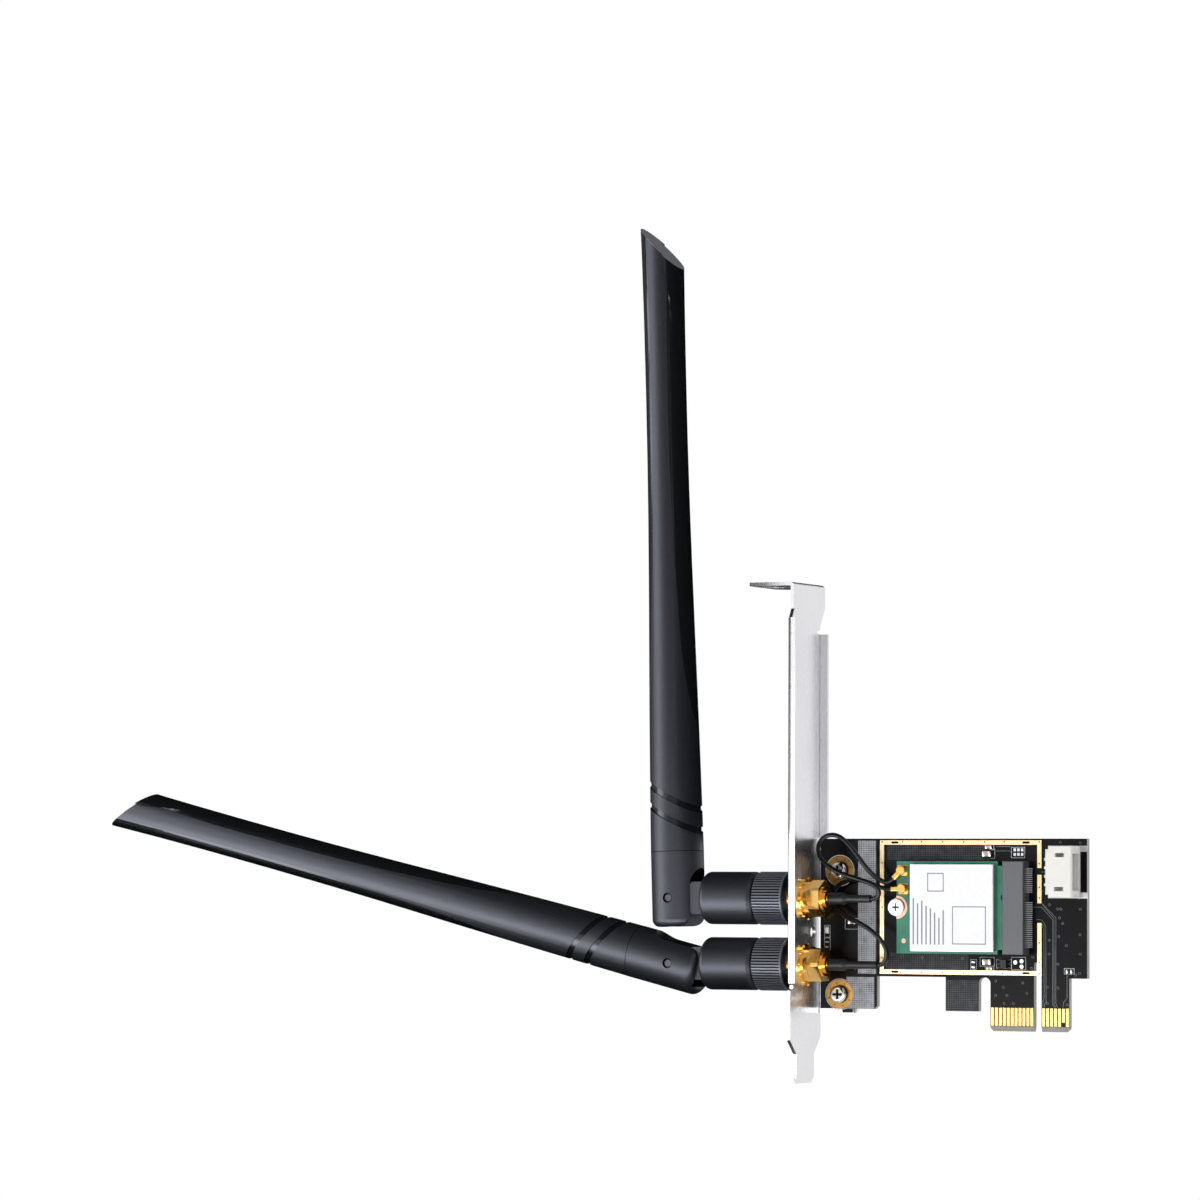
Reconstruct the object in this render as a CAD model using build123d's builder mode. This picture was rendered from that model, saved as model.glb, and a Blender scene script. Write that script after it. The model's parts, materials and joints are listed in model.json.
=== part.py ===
import os
from math import cos, degrees, radians, sin, sqrt, tan

from build123d import *

os.makedirs("parts", exist_ok=True)

# The datum is the middle of the key notch, on the lower edge of the contact tongue, in the
# component face of the board. +X runs along the card away from its bracket, +Z is up and -Y
# points out of the component face. All sizes are in millimetres.

# Circuit board
board_thickness = 1.57
board_left = -56.2
board_right = 12.45
board_top = 45.6
board_belly = 12.65
tongue_left = -12.05
tongue_right = 7.95
key_width = 1.9
key_height = 9.2
latch_left = -23.55
latch_right = -15.05
latch_bottom = 4.6
foot_block_right = -41.3
foot_block_bottom = 4.8
foot_left = -50.4
foot_right = -47.7
foot_drop = 1.0
corner_radius = 1.4
bevel_height = 1.2
bevel_depth = 0.45

# Gold plating that stands on the copper
plating = 0.06
finger_pitch = 1.0
finger_width = 0.72
finger_bottom = 1.3
finger_top = 5.55
finger_offset = 1.5
fingers_before_key = 11
fingers_after_key = 7
fence_left = -40.6
fence_right = 0.95
fence_bottom = 13.25
fence_top = 45.2
fence_width = 1.05
fence_gaps = [(37.04, 38.67), (25.66, 30.34)]
fence_slot_inset = 3.9
screw_pad_radius = 3.5

# Screws that hold the board to the bracket
screw_x = -51.1
screw_heights = [8.2, 37.9]
screw_radius = 1.2
screw_clearance = 0.15
screw_head_radius = 2.2
screw_head_height = 1.5

# Bracket, one folded steel sheet
sheet = 0.86
bracket_face = -57.1
bracket_far = board_thickness + sheet
bracket_width = 18.42
bracket_top = 107.04
bracket_height = 120.02
bracket_step = 2.0
tab_length = 11.1
bend_radius = 1.1
near_flange_reach = 2.15
near_flange_low = 11.0
near_flange_high = 98.4
far_flange_reach = 2.8
far_flange_low = 45.85
far_flange_high = 95.0
lug_reach = 11.3
lug_half_height = 4.6
tip_width = 10.19
tip_length = 7.0
light_hole_radius = 1.5
light_hole_height = 23.1
light_hole_y = -2.4
case_slot_width = 4.42
case_slot_length = 7.4
case_slot_x = 7.6
case_slot_y = -7.0

# Antenna sockets
port_y = -6.95
port_heights = {"upper": 31.2, "lower": 15.4}
thread_radius = 3.175
thread_length = 9.1
hex_width = 8.0
hex_length = 3.0
hex_turns = {"upper": 30, "lower": 0}
shoulder_radius = 4.3
shoulder_length = 1.4
washer_radius = 5.05
washer_thickness = 0.8
washer_teeth = 12
nut_thickness = 1.7
socket_bore = 2.3
contact_pin_radius = 0.46
sleeve_radius = 1.45
sleeve_neck_radius = 0.95
sleeve_ends = {"upper": -40.0, "lower": -38.3}
running_gap = 0.05

# Antennas
collar_radius = 6.4
collar_length = 9.1
collar_gap = 0.24
knurl_ribs = 56
knurl_depth = 0.35
knurl_groove = 0.36
knurl_length = 7.3
neck_width = 0.5
base_radius = 6.35
base_length = 13.68
base_gap = 0.22
hinge_reach = 7.95
hinge_pin_radius = 1.2
tongue_thickness = 8.0
tongue_height = 7.0
tongue_root_height = 7.8
tongue_root_reach = 5.4
ear_gap = 0.1
heel_length = 7.0
heel_round = 3.4
heel_edge = 1.8
slot_floor = 4.2
slot_top = 7.1
whip_root_radius = 6.45
seam_distance = 11.2
bend_angles = {"upper": 88.25, "lower": 13.7}
whip_length = 158.7
tip_angle = 45.0
ring_distances = [19.6, 24.7]
ring_width = 1.4
ring_depth = 0.25
ring_angle = 28.7

# Radio module, its socket and its stand-off
radio_left = -34.87
radio_middle = 29.2
radio_length = 30.0
radio_width = 22.0
radio_lift = 2.45
radio_thickness = 0.8
radio_edge_width = 19.85
radio_edge_length = 4.1
radio_notch_radius = 1.75
shield_left = 3.95
shield_length = 21.55
shield_width = 20.95
shield_height = 1.45
shield_wall = 0.2
socket_engagement = 2.57
socket_length = 5.35
socket_width = 22.1
socket_height = 4.15
socket_key = 31.6
contact_pitch = 0.5
contact_width = 0.22
contact_count = 38
post_radius = 2.3

# Lead plugs on the radio module
plug_places = {"upper": (-33.3, 38.0, 225.0), "lower": (-33.1, 33.6, 180.0)}
plug_radius = 1.15
plug_lift = 0.25
plug_height = 1.45
plug_tail_length = 1.5
plug_tail_width = 1.3
lead_radius = 0.565

# Side-entry header
header_left = 4.2
header_length = 6.6
header_middle = 37.7
header_width = 12.3
header_height = 6.0
header_wall = 0.8
header_pitch = 2.0

# Coaxial leads, from the sleeve's end to the plug's tail, as chosen points
lead_routes = {
    "upper": [
        (-37.5, -7.2, 32.9),
        (-39.0, -7.6, 34.6),
        (-42.4, -8.1, 35.8),
        (-46.2, -8.4, 36.8),
        (-49.8, -8.6, 38.4),
        (-52.6, -8.5, 40.8),
        (-53.5, -8.1, 43.8),
        (-51.7, -7.7, 46.3),
        (-48.6, -7.3, 46.5),
        (-46.0, -7.0, 44.5),
        (-43.6, -6.6, 41.4),
        (-41.4, -6.0, 38.3),
        (-39.2, -5.1, 36.0),
    ],
    "lower": [
        (-35.5, -7.2, 18.0),
        (-36.4, -7.5, 20.7),
        (-38.8, -7.8, 23.2),
        (-42.2, -7.4, 25.2),
        (-45.4, -6.2, 26.2),
        (-48.4, -4.6, 27.4),
        (-50.9, -2.9, 29.2),
        (-52.1, -1.9, 31.6),
        (-51.2, -1.9, 34.0),
        (-48.8, -2.9, 35.3),
        (-45.9, -4.4, 35.8),
        (-42.8, -5.2, 35.6),
        (-40.2, -4.9, 34.6),
    ],
}
lead_start_run = 1.6
lead_end_run = 2.0

# Sizes that follow from the ones above
bracket_back = bracket_face - sheet
bracket_near = bracket_far - bracket_width
bracket_bottom = bracket_top - bracket_height
radio_face = radio_lift + radio_thickness
socket_left = radio_left + radio_length - socket_engagement
shaft_end = bracket_back - thread_length
collar_near = bracket_back - nut_thickness - collar_gap
collar_far = collar_near - collar_length
base_near = collar_far - base_gap
base_far = base_near - base_length
hinge_x = base_far - hinge_reach
slot_half = tongue_thickness / 2 + ear_gap


def save(piece, name):
    """Label a finished piece and write it to its own file."""
    piece.part.label = name
    export_step(piece.part, f"parts/{name}.step")


def face_plane(height):
    """A plane parallel to the board's component face, this far in front of it."""
    return Plane.XZ.offset(height)


def cross_plane(x):
    """A plane across the card, with Y as its first direction and Z as its second."""
    return Plane.YZ.offset(x)


def whip_plane(side, distance=0.0):
    """A plane across a whip, this far from its hinge. Its first direction is the short side."""
    bend = radians(bend_angles[side])
    along = (-cos(bend), 0, sin(bend))
    short_side = (sin(bend), 0, cos(bend))
    origin = (hinge_x, port_y, port_heights[side])
    return Plane(origin=origin, x_dir=short_side, z_dir=along).offset(distance)


def plug_tail(side):
    """A plane across a plug's crimped tail, at the plug's middle and facing the lead."""
    x, z, angle = plug_places[side]
    heading = radians(angle)
    return Plane(
        origin=(x, -radio_face - plug_lift - plug_height / 2 + 0.05, z),
        x_dir=(0, 1, 0),
        z_dir=(cos(heading), 0, sin(heading)),
    )


def circuit_board():
    """The bare board: its outline with the keyed tongue, the latch and the foot block."""
    outline = [
        (board_left, board_top),
        (board_right, board_top),
        (board_right, board_belly),
        (tongue_right, board_belly),
        (tongue_right, 0),
        (tongue_left, 0),
        (tongue_left, board_belly),
        (latch_right, board_belly),
        (latch_right, latch_bottom),
        (latch_left, latch_bottom),
        (latch_left, board_belly),
        (foot_block_right, board_belly),
        (foot_block_right, foot_block_bottom),
        (foot_right, foot_block_bottom),
        (foot_right, foot_block_bottom - foot_drop),
        (foot_left, foot_block_bottom - foot_drop),
        (foot_left, foot_block_bottom),
        (board_left, foot_block_bottom),
    ]
    inner_corners = [(tongue_left, board_belly), (latch_right, board_belly)]
    cut_corners = [(tongue_right, 0), (tongue_left, 0), (foot_block_right, foot_block_bottom)]
    with BuildPart() as board:
        with BuildSketch(face_plane(0)) as shape:
            with BuildLine():
                Polyline(*outline, close=True)
            make_face()
            for corner in inner_corners:
                fillet(shape.vertices().sort_by_distance(corner)[0], radius=corner_radius)
            for corner in cut_corners:
                chamfer(shape.vertices().sort_by_distance(corner)[0], length=corner_radius / 2)
            with Locations((0, key_height - key_width)):
                SlotOverall(2 * key_height, key_width, rotation=90, mode=Mode.SUBTRACT)
            with Locations(*[(screw_x, height) for height in screw_heights]):
                Circle(screw_radius + screw_clearance, mode=Mode.SUBTRACT)
        extrude(amount=-board_thickness)
        # The lower edge of the tongue is bevelled on both faces.
        with BuildSketch(cross_plane(tongue_left - corner_radius)):
            with BuildLine():
                Polyline((0, bevel_height), (0, 0), (bevel_depth, 0), close=True)
            make_face()
            with BuildLine():
                Polyline(
                    (board_thickness, bevel_height),
                    (board_thickness - bevel_depth, 0),
                    (board_thickness, 0),
                    close=True,
                )
            make_face()
        extrude(amount=tongue_right - tongue_left + 2 * corner_radius, mode=Mode.SUBTRACT)
    save(board, "circuit_board")


def edge_contacts():
    """The plated fingers on both faces of the tongue. One in each face is shorter."""
    places = [-finger_offset - finger_pitch * i for i in range(fingers_before_key)]
    places += [finger_offset + finger_pitch * i for i in range(fingers_after_key)]
    short_front = finger_offset + finger_pitch * (fingers_after_key - 2)
    short_back = -finger_offset - finger_pitch * (fingers_before_key - 1)
    with BuildPart() as fingers:
        for plane, short in (
            (face_plane(0), short_front),
            (face_plane(-board_thickness - plating), short_back),
        ):
            with BuildSketch(plane):
                for x in places:
                    bottom = finger_bottom + finger_pitch * (x == short)
                    with Locations((x, bottom)):
                        Rectangle(
                            finger_width,
                            finger_top - bottom,
                            align=(Align.CENTER, Align.MIN),
                        )
            extrude(amount=plating)
    save(fingers, "edge_contacts")


def ground_fence():
    """The plated ground frame round the radio, with its slots and its open stretches."""
    length = fence_right - fence_left
    height = fence_top - fence_bottom
    middle = ((fence_left + fence_right) / 2, (fence_bottom + fence_top) / 2)
    slot_height = (height - fence_width) / 2
    with BuildPart() as fence:
        with BuildSketch(face_plane(0)):
            with Locations(middle):
                Rectangle(length, height)
                Rectangle(length - 2 * fence_width, height - 2 * fence_width, mode=Mode.SUBTRACT)
                with GridLocations(length - 2 * fence_slot_inset, 2 * slot_height, 2, 2):
                    SlotOverall(1.9, 0.55, mode=Mode.SUBTRACT)
            for low, high in fence_gaps:
                with Locations((fence_right - fence_width / 2, (low + high) / 2)):
                    Rectangle(2 * fence_width, high - low, mode=Mode.SUBTRACT)
        extrude(amount=plating)
    save(fence, "ground_fence")


def screw_pads():
    """The plated rings that the two bracket screws bear on."""
    with BuildPart() as pads:
        with BuildSketch(face_plane(0)):
            with Locations(*[(screw_x, height) for height in screw_heights]):
                Circle(screw_pad_radius)
                Circle(screw_radius + screw_clearance, mode=Mode.SUBTRACT)
        extrude(amount=plating)
    save(pads, "screw_pads")


def board_screws():
    """Two pan-head screws with cross recesses, through the board into the bracket's lugs."""
    places = [(screw_x, height) for height in screw_heights]
    reach = board_thickness + sheet + 0.4
    with BuildPart() as screws:
        with BuildSketch(face_plane(plating)):
            with Locations(*places):
                Circle(screw_head_radius)
        extrude(amount=screw_head_height)
        crowns = screws.edges().filter_by(GeomType.CIRCLE).group_by(Axis.Y)[0]
        fillet(crowns, radius=screw_head_height * 0.6)
        with BuildSketch(face_plane(plating + screw_head_height)):
            with Locations(*places):
                Rectangle(2.5, 0.6)
                Rectangle(0.6, 2.5)
        extrude(amount=-screw_head_height * 0.6, taper=12, mode=Mode.SUBTRACT)
        with BuildSketch(face_plane(plating)):
            with Locations(*places):
                Circle(screw_radius)
        extrude(amount=-reach)
    save(screws, "board_screws")


def bracket():
    """The mounting bracket: one sheet with a folded tab, two stiffening flanges and two lugs."""
    middle = (bracket_near + bracket_far) / 2
    shift = bracket_step
    plate_top = bracket_top - bend_radius
    tip_top = bracket_bottom + tip_length
    tip_half = tip_width / 2
    outline = [
        (bracket_near + shift, plate_top),
        (bracket_far + shift, plate_top),
        (bracket_far + shift, 101.4),
        (bracket_far - 0.9, 97.0),
        (bracket_far - 0.9, far_flange_high + 1.1),
        (bracket_far - 3.2, far_flange_high + 0.5),
        (bracket_far - bend_radius, far_flange_high),
        (bracket_far - bend_radius, 5.4),
        (bracket_far - 1.6, 5.4),
        (bracket_far - 1.6, 3.6),
        (bracket_far - 0.3, 3.6),
        (bracket_far - 0.3, -2.0),
        (middle + tip_half, tip_top),
        (middle + tip_half, bracket_bottom + 1.6),
        (middle + tip_half - 1.6, bracket_bottom),
        (middle - tip_half + 1.1, bracket_bottom),
        (middle - tip_half, bracket_bottom + 1.1),
        (middle - tip_half, tip_top),
        (bracket_near + 0.2, -2.5),
        (bracket_near + 0.2, 9.2),
        (bracket_near + 1.9, 9.7),
        (bracket_near + 1.9, 10.5),
        (bracket_near + bend_radius, near_flange_low),
        (bracket_near + bend_radius, near_flange_high),
        (bracket_near + shift + 0.4, near_flange_high + 2.2),
    ]
    fold_middle = bracket_back + sheet / 2
    with BuildPart() as steel:
        with BuildSketch(cross_plane(bracket_back)):
            with BuildLine():
                Polyline(*outline, close=True)
            make_face()
            with Locations(*[(port_y, height) for height in port_heights.values()]):
                Circle(thread_radius + 0.1, mode=Mode.SUBTRACT)
            with Locations((light_hole_y, light_hole_height)):
                Circle(light_hole_radius, mode=Mode.SUBTRACT)
        extrude(amount=sheet)
        # The near flange turns towards the card along most of the height.
        with BuildSketch(Plane.XY.offset(near_flange_low)):
            with BuildLine():
                FilletPolyline(
                    (fold_middle, bracket_near + bend_radius),
                    (fold_middle, bracket_near + sheet / 2),
                    (bracket_back + near_flange_reach, bracket_near + sheet / 2),
                    radius=bend_radius - sheet / 2 - 0.02,
                )
            trace(line_width=sheet)
        extrude(amount=near_flange_high - near_flange_low)
        # The far flange does the same above the board.
        with BuildSketch(Plane.XY.offset(far_flange_low)):
            with BuildLine():
                FilletPolyline(
                    (fold_middle, bracket_far - bend_radius),
                    (fold_middle, bracket_far - sheet / 2),
                    (bracket_back + far_flange_reach, bracket_far - sheet / 2),
                    radius=bend_radius - sheet / 2 - 0.02,
                )
            trace(line_width=sheet)
        extrude(amount=far_flange_high - far_flange_low)
        # Two lugs lie against the back of the board and take its screws.
        for height in screw_heights:
            with BuildSketch(Plane.XY.offset(height - lug_half_height)):
                with BuildLine():
                    FilletPolyline(
                        (fold_middle, bracket_far - bend_radius),
                        (fold_middle, bracket_far - sheet / 2),
                        (bracket_back + lug_reach, bracket_far - sheet / 2),
                        radius=bend_radius - sheet / 2 - 0.02,
                    )
                trace(line_width=sheet)
            extrude(amount=2 * lug_half_height)
        lug_corners = steel.edges().filter_by(Axis.Y).group_by(Axis.X)[-1]
        fillet(lug_corners, radius=2.0)
        with BuildSketch(face_plane(0)):
            with Locations(*[(screw_x, height) for height in screw_heights]):
                Circle(screw_radius + running_gap)
        extrude(amount=-2 * bracket_far, mode=Mode.SUBTRACT)
        # The tab folds outwards at the top, over the case's ledge.
        with BuildSketch(Plane.XZ.offset(-bracket_far - shift)):
            with BuildLine():
                FilletPolyline(
                    (fold_middle, bracket_top - bend_radius),
                    (fold_middle, bracket_top - sheet / 2),
                    (bracket_back - tab_length, bracket_top - sheet / 2),
                    radius=bend_radius - sheet / 2 - 0.02,
                )
            trace(line_width=sheet)
        extrude(amount=bracket_width)
        tab_corners = steel.edges().filter_by(Axis.Z).group_by(Axis.X)[0]
        chamfer(tab_corners.sort_by(Axis.Y)[-1], length=2.5)
        fillet(steel.edges().filter_by(Axis.Z).group_by(Axis.X)[0].sort_by(Axis.Y)[0], radius=0.8)
        with BuildSketch(Plane.XY.offset(bracket_top)):
            with Locations((bracket_back - case_slot_x, case_slot_y)):
                SlotOverall(case_slot_length, case_slot_width, rotation=90)
        extrude(amount=-2 * sheet, mode=Mode.SUBTRACT)
    save(steel, "bracket")


def jack(side):
    """A threaded coaxial socket: flange, hex, crimp neck and a bored shank through the bracket."""
    height = port_heights[side]
    place = (port_y, height)
    flange_start = bracket_face + washer_thickness
    hex_start = flange_start + shoulder_length
    hex_end = hex_start + hex_length
    with BuildPart() as body:
        with BuildSketch(cross_plane(shaft_end)):
            with Locations(place):
                Circle(thread_radius)
        extrude(amount=flange_start - shaft_end)
        chamfer(body.edges().filter_by(GeomType.CIRCLE).group_by(Axis.X)[0], length=0.35)
        with BuildSketch(cross_plane(flange_start)):
            with Locations(place):
                Circle(shoulder_radius)
        extrude(amount=shoulder_length)
        with BuildSketch(cross_plane(hex_start)):
            with Locations(place):
                RegularPolygon(
                    hex_width / 2,
                    6,
                    major_radius=False,
                    rotation=hex_turns[side],
                )
        extrude(amount=hex_length)
        # The hex corners are turned off towards the crimp end.
        with BuildSketch(cross_plane(hex_start)):
            with Locations(place):
                Circle(hex_width)
                Circle(hex_width / 2 + 0.42, mode=Mode.SUBTRACT)
        extrude(amount=hex_length, mode=Mode.SUBTRACT)
        for start, radius, length in (
            (hex_end, 3.05, 0.35),
            (hex_end + 0.35, 2.1, 0.45),
            (hex_end + 0.8, sleeve_neck_radius, 3.4),
        ):
            with BuildSketch(cross_plane(start)):
                with Locations(place):
                    Circle(radius)
            extrude(amount=length)
        with BuildSketch(cross_plane(shaft_end)):
            with Locations(place):
                Circle(socket_bore)
        extrude(amount=thread_length - 1.5, mode=Mode.SUBTRACT)
        with BuildSketch(cross_plane(shaft_end)):
            with Locations(place):
                Circle(contact_pin_radius + running_gap)
        extrude(amount=thread_length + 1.0, mode=Mode.SUBTRACT)
    save(body, f"{side}_jack")


def jack_core(side):
    """The white insulator at the bottom of a socket's bore and the pin that it holds."""
    place = (port_y, port_heights[side])
    bottom = shaft_end + thread_length - 1.5
    with BuildPart() as insulator:
        with BuildSketch(cross_plane(bottom)):
            with Locations(place):
                Circle(socket_bore)
                Circle(contact_pin_radius, mode=Mode.SUBTRACT)
        extrude(amount=-2.6)
    save(insulator, f"{side}_jack_insulator")
    with BuildPart() as pin:
        with BuildSketch(cross_plane(bottom + 2.0)):
            with Locations(place):
                Circle(contact_pin_radius)
        extrude(amount=-7.6)
        chamfer(pin.edges().filter_by(GeomType.CIRCLE).group_by(Axis.X)[0], length=0.2)
    save(pin, f"{side}_jack_pin")


def lock_washer(side):
    """A toothed lock washer between the socket's shoulder and the bracket."""
    place = (port_y, port_heights[side])
    with BuildPart() as washer:
        with BuildSketch(cross_plane(bracket_face)):
            with Locations(place):
                Circle(washer_radius)
                Circle(thread_radius + 0.12, mode=Mode.SUBTRACT)
        extrude(amount=washer_thickness)
        with BuildSketch(cross_plane(bracket_face + washer_thickness)):
            with Locations(place):
                with PolarLocations(washer_radius, washer_teeth):
                    Circle(0.42)
        extrude(amount=-washer_thickness * 0.55, mode=Mode.SUBTRACT)
    save(washer, f"{side}_lock_washer")


def outer_nut(side):
    """The thin hex nut that clamps the socket to the bracket from outside."""
    place = (port_y, port_heights[side])
    with BuildPart() as nut:
        with BuildSketch(cross_plane(bracket_back)):
            with Locations(place):
                RegularPolygon(hex_width / 2, 6, major_radius=False, rotation=30)
                Circle(thread_radius + running_gap, mode=Mode.SUBTRACT)
        extrude(amount=-nut_thickness)
    save(nut, f"{side}_nut")


def crimp_sleeve(side):
    """Heat-shrink over the crimp: a thick barrel that steps down on to the lead."""
    place = (port_y, port_heights[side])
    start = bracket_face + washer_thickness + shoulder_length + hex_length + 1.0
    barrel = 4.0
    end = sleeve_ends[side]
    with BuildPart() as sleeve:
        with BuildSketch(cross_plane(start)):
            with Locations(place):
                Circle(sleeve_radius)
        extrude(amount=barrel)
        with BuildSketch(cross_plane(start + barrel)):
            with Locations(place):
                Circle(sleeve_radius)
        with BuildSketch(cross_plane(start + barrel + 0.9)):
            with Locations(place):
                Circle(sleeve_neck_radius)
        loft()
        with BuildSketch(cross_plane(start + barrel + 0.9)):
            with Locations(place):
                Circle(sleeve_neck_radius)
        extrude(amount=end - start - barrel - 0.9)
        fillet(sleeve.edges().filter_by(GeomType.CIRCLE).group_by(Axis.X)[0], radius=0.3)
        with BuildSketch(cross_plane(start)):
            with Locations(place):
                Circle(sleeve_neck_radius + running_gap)
        extrude(amount=3.3, mode=Mode.SUBTRACT)
    save(sleeve, f"{side}_sleeve")


def coax_lead(side):
    """A thin coaxial lead: straight runs joined by arcs, from its sleeve to its plug."""
    sleeve_end = Vector(sleeve_ends[side], port_y, port_heights[side])
    tail = plug_tail(side)
    tail_end = tail.origin + tail.z_dir * (plug_radius + plug_tail_length)
    points = [sleeve_end, sleeve_end + Vector(lead_start_run, 0, 0)]
    points += [Vector(*point) for point in lead_routes[side]]
    points += [tail_end + tail.z_dir * lead_end_run, tail_end]
    radii = []
    for before, corner, after in zip(points, points[1:], points[2:]):
        turn = radians((corner - before).get_angle(after - corner))
        shorter_run = min((corner - before).length, (after - corner).length)
        radii.append(0.45 * shorter_run / tan(turn / 2))
    with BuildPart() as lead:
        with BuildLine() as path:
            FilletPolyline(*points, radius=radii)
        start = Plane(origin=path.line @ 0, z_dir=path.line % 0)
        with BuildSketch(start):
            Circle(lead_radius)
        sweep()
    length = path.wires()[0].length
    fill = lead.part.volume / (length * 3.14159265 * lead_radius**2)
    print(f"{side} lead: length {length:.1f}, smallest radius {min(radii):.2f}, volume share {fill:.4f}")
    print("  radii", [round(radius, 1) for radius in radii])
    save(lead, f"{side}_lead")


def lead_plug(side):
    """A snap-on plug: a round cap over the receptacle, with a crimped tail for the lead."""
    x, z, _ = plug_places[side]
    base = radio_face + plug_lift
    tail = plug_tail(side)
    with BuildPart() as plug:
        with BuildSketch(face_plane(base)):
            with Locations((x, z)):
                Circle(plug_radius)
        extrude(amount=plug_height)
        with BuildSketch(tail):
            RectangleRounded(plug_height - 0.25, plug_tail_width, radius=0.3)
        extrude(amount=plug_radius + plug_tail_length)
        with BuildSketch(face_plane(base)):
            with Locations((x, z)):
                Circle(0.75)
        extrude(amount=plug_height * 0.6, mode=Mode.SUBTRACT)
        crown = plug.edges().filter_by(GeomType.CIRCLE).group_by(Axis.Y)[0]
        chamfer(crown, length=0.15)
    save(plug, f"{side}_lead_plug")


def radio_module():
    """The small radio board with its end notch, contact edge, shield can, label and chip."""
    right = radio_left + radio_length
    with BuildPart() as board:
        with BuildSketch(face_plane(radio_lift)):
            with Locations((radio_left, radio_middle)):
                Rectangle(
                    radio_length - radio_edge_length,
                    radio_width,
                    align=(Align.MIN, Align.CENTER),
                )
                Rectangle(radio_length, radio_edge_width, align=(Align.MIN, Align.CENTER))
                Circle(radio_notch_radius, mode=Mode.SUBTRACT)
            with Locations((right, socket_key)):
                Rectangle(2 * 3.2, 1.2, mode=Mode.SUBTRACT)
        extrude(amount=radio_thickness)
    save(board, "radio_board")
    can_left = radio_left + shield_left
    with BuildPart() as can:
        with BuildSketch(face_plane(radio_face)):
            with Locations((can_left, radio_middle)):
                Rectangle(shield_length, shield_width, align=(Align.MIN, Align.CENTER))
        extrude(amount=shield_height)
        fillet(can.edges().filter_by(Axis.Y), radius=0.5)
        fillet(can.faces().sort_by(Axis.Y)[0].edges(), radius=0.25)
        with BuildSketch(face_plane(radio_face)):
            with Locations((can_left + shield_length / 2, radio_middle)):
                RectangleRounded(
                    shield_length - 2 * shield_wall,
                    shield_width - 2 * shield_wall,
                    radius=0.3,
                )
        extrude(amount=shield_height - shield_wall, mode=Mode.SUBTRACT)
    save(can, "radio_shield")
    with BuildPart() as label:
        with BuildSketch(face_plane(radio_face + shield_height)):
            with Locations((can_left + shield_length / 2, radio_middle)):
                RectangleRounded(shield_length - 0.6, shield_width - 0.6, radius=0.5)
        extrude(amount=plating)
    save(label, "radio_label")
    with BuildPart() as chip:
        with BuildSketch(face_plane(radio_face)):
            with Locations((can_left + shield_length / 2, radio_middle)):
                Rectangle(11, 9)
        extrude(amount=0.8)
        chamfer(chip.faces().sort_by(Axis.Y)[0].edges(), length=0.1)
    save(chip, "radio_chip")


def radio_pads():
    """Bare copper on the radio board: a half ring at the screw notch and a round dot."""
    with BuildPart() as pads:
        with BuildSketch(face_plane(radio_face)):
            with Locations((radio_left, radio_middle)):
                Circle(radio_notch_radius + 1.0)
                Circle(radio_notch_radius, mode=Mode.SUBTRACT)
                Rectangle(10, 10, align=(Align.MAX, Align.CENTER), mode=Mode.SUBTRACT)
            with Locations((radio_left + 1.85, radio_middle - 8.0)):
                Circle(0.55)
        extrude(amount=plating)
    save(pads, "radio_pads")


def radio_jacks():
    """Two surface-mounted coaxial receptacles, each a small base with a round post."""
    places = [plug_places[side][:2] for side in plug_places]
    with BuildPart() as jacks:
        with BuildSketch(face_plane(radio_face)):
            with Locations(*places):
                RectangleRounded(2.5, 2.5, radius=0.3)
        extrude(amount=0.2)
        with BuildSketch(face_plane(radio_face + 0.2)):
            with Locations(*places):
                Circle(0.7)
        extrude(amount=0.8)
    save(jacks, "radio_jacks")


def radio_mount():
    """The soldered stand-off under the radio's notch, and the flat screw that holds it."""
    with BuildPart() as post:
        with BuildSketch(face_plane(0)):
            with Locations((radio_left, radio_middle)):
                Circle(post_radius)
        extrude(amount=radio_lift)
        with BuildSketch(face_plane(radio_lift)):
            with Locations((radio_left, radio_middle)):
                Circle(radio_notch_radius - 0.1)
        extrude(amount=radio_thickness * 0.6)
        with BuildSketch(face_plane(0.4)):
            with Locations((radio_left, radio_middle)):
                Circle(0.85)
        extrude(amount=radio_lift + radio_thickness, mode=Mode.SUBTRACT)
    save(post, "radio_post")
    with BuildPart() as screw:
        with BuildSketch(face_plane(radio_face + plating)):
            with Locations((radio_left, radio_middle)):
                Circle(2.05)
        extrude(amount=0.7)
        crown = screw.edges().filter_by(GeomType.CIRCLE).group_by(Axis.Y)[0]
        fillet(crown, radius=0.3)
        with BuildSketch(face_plane(radio_face + plating + 0.7)):
            with Locations((radio_left, radio_middle)):
                Rectangle(1.9, 0.42)
                Rectangle(0.42, 1.9)
        extrude(amount=-0.5, mode=Mode.SUBTRACT)
        with BuildSketch(face_plane(radio_face + plating)):
            with Locations((radio_left, radio_middle)):
                Circle(0.8)
        extrude(amount=-2.6)
    save(screw, "radio_screw")


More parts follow.
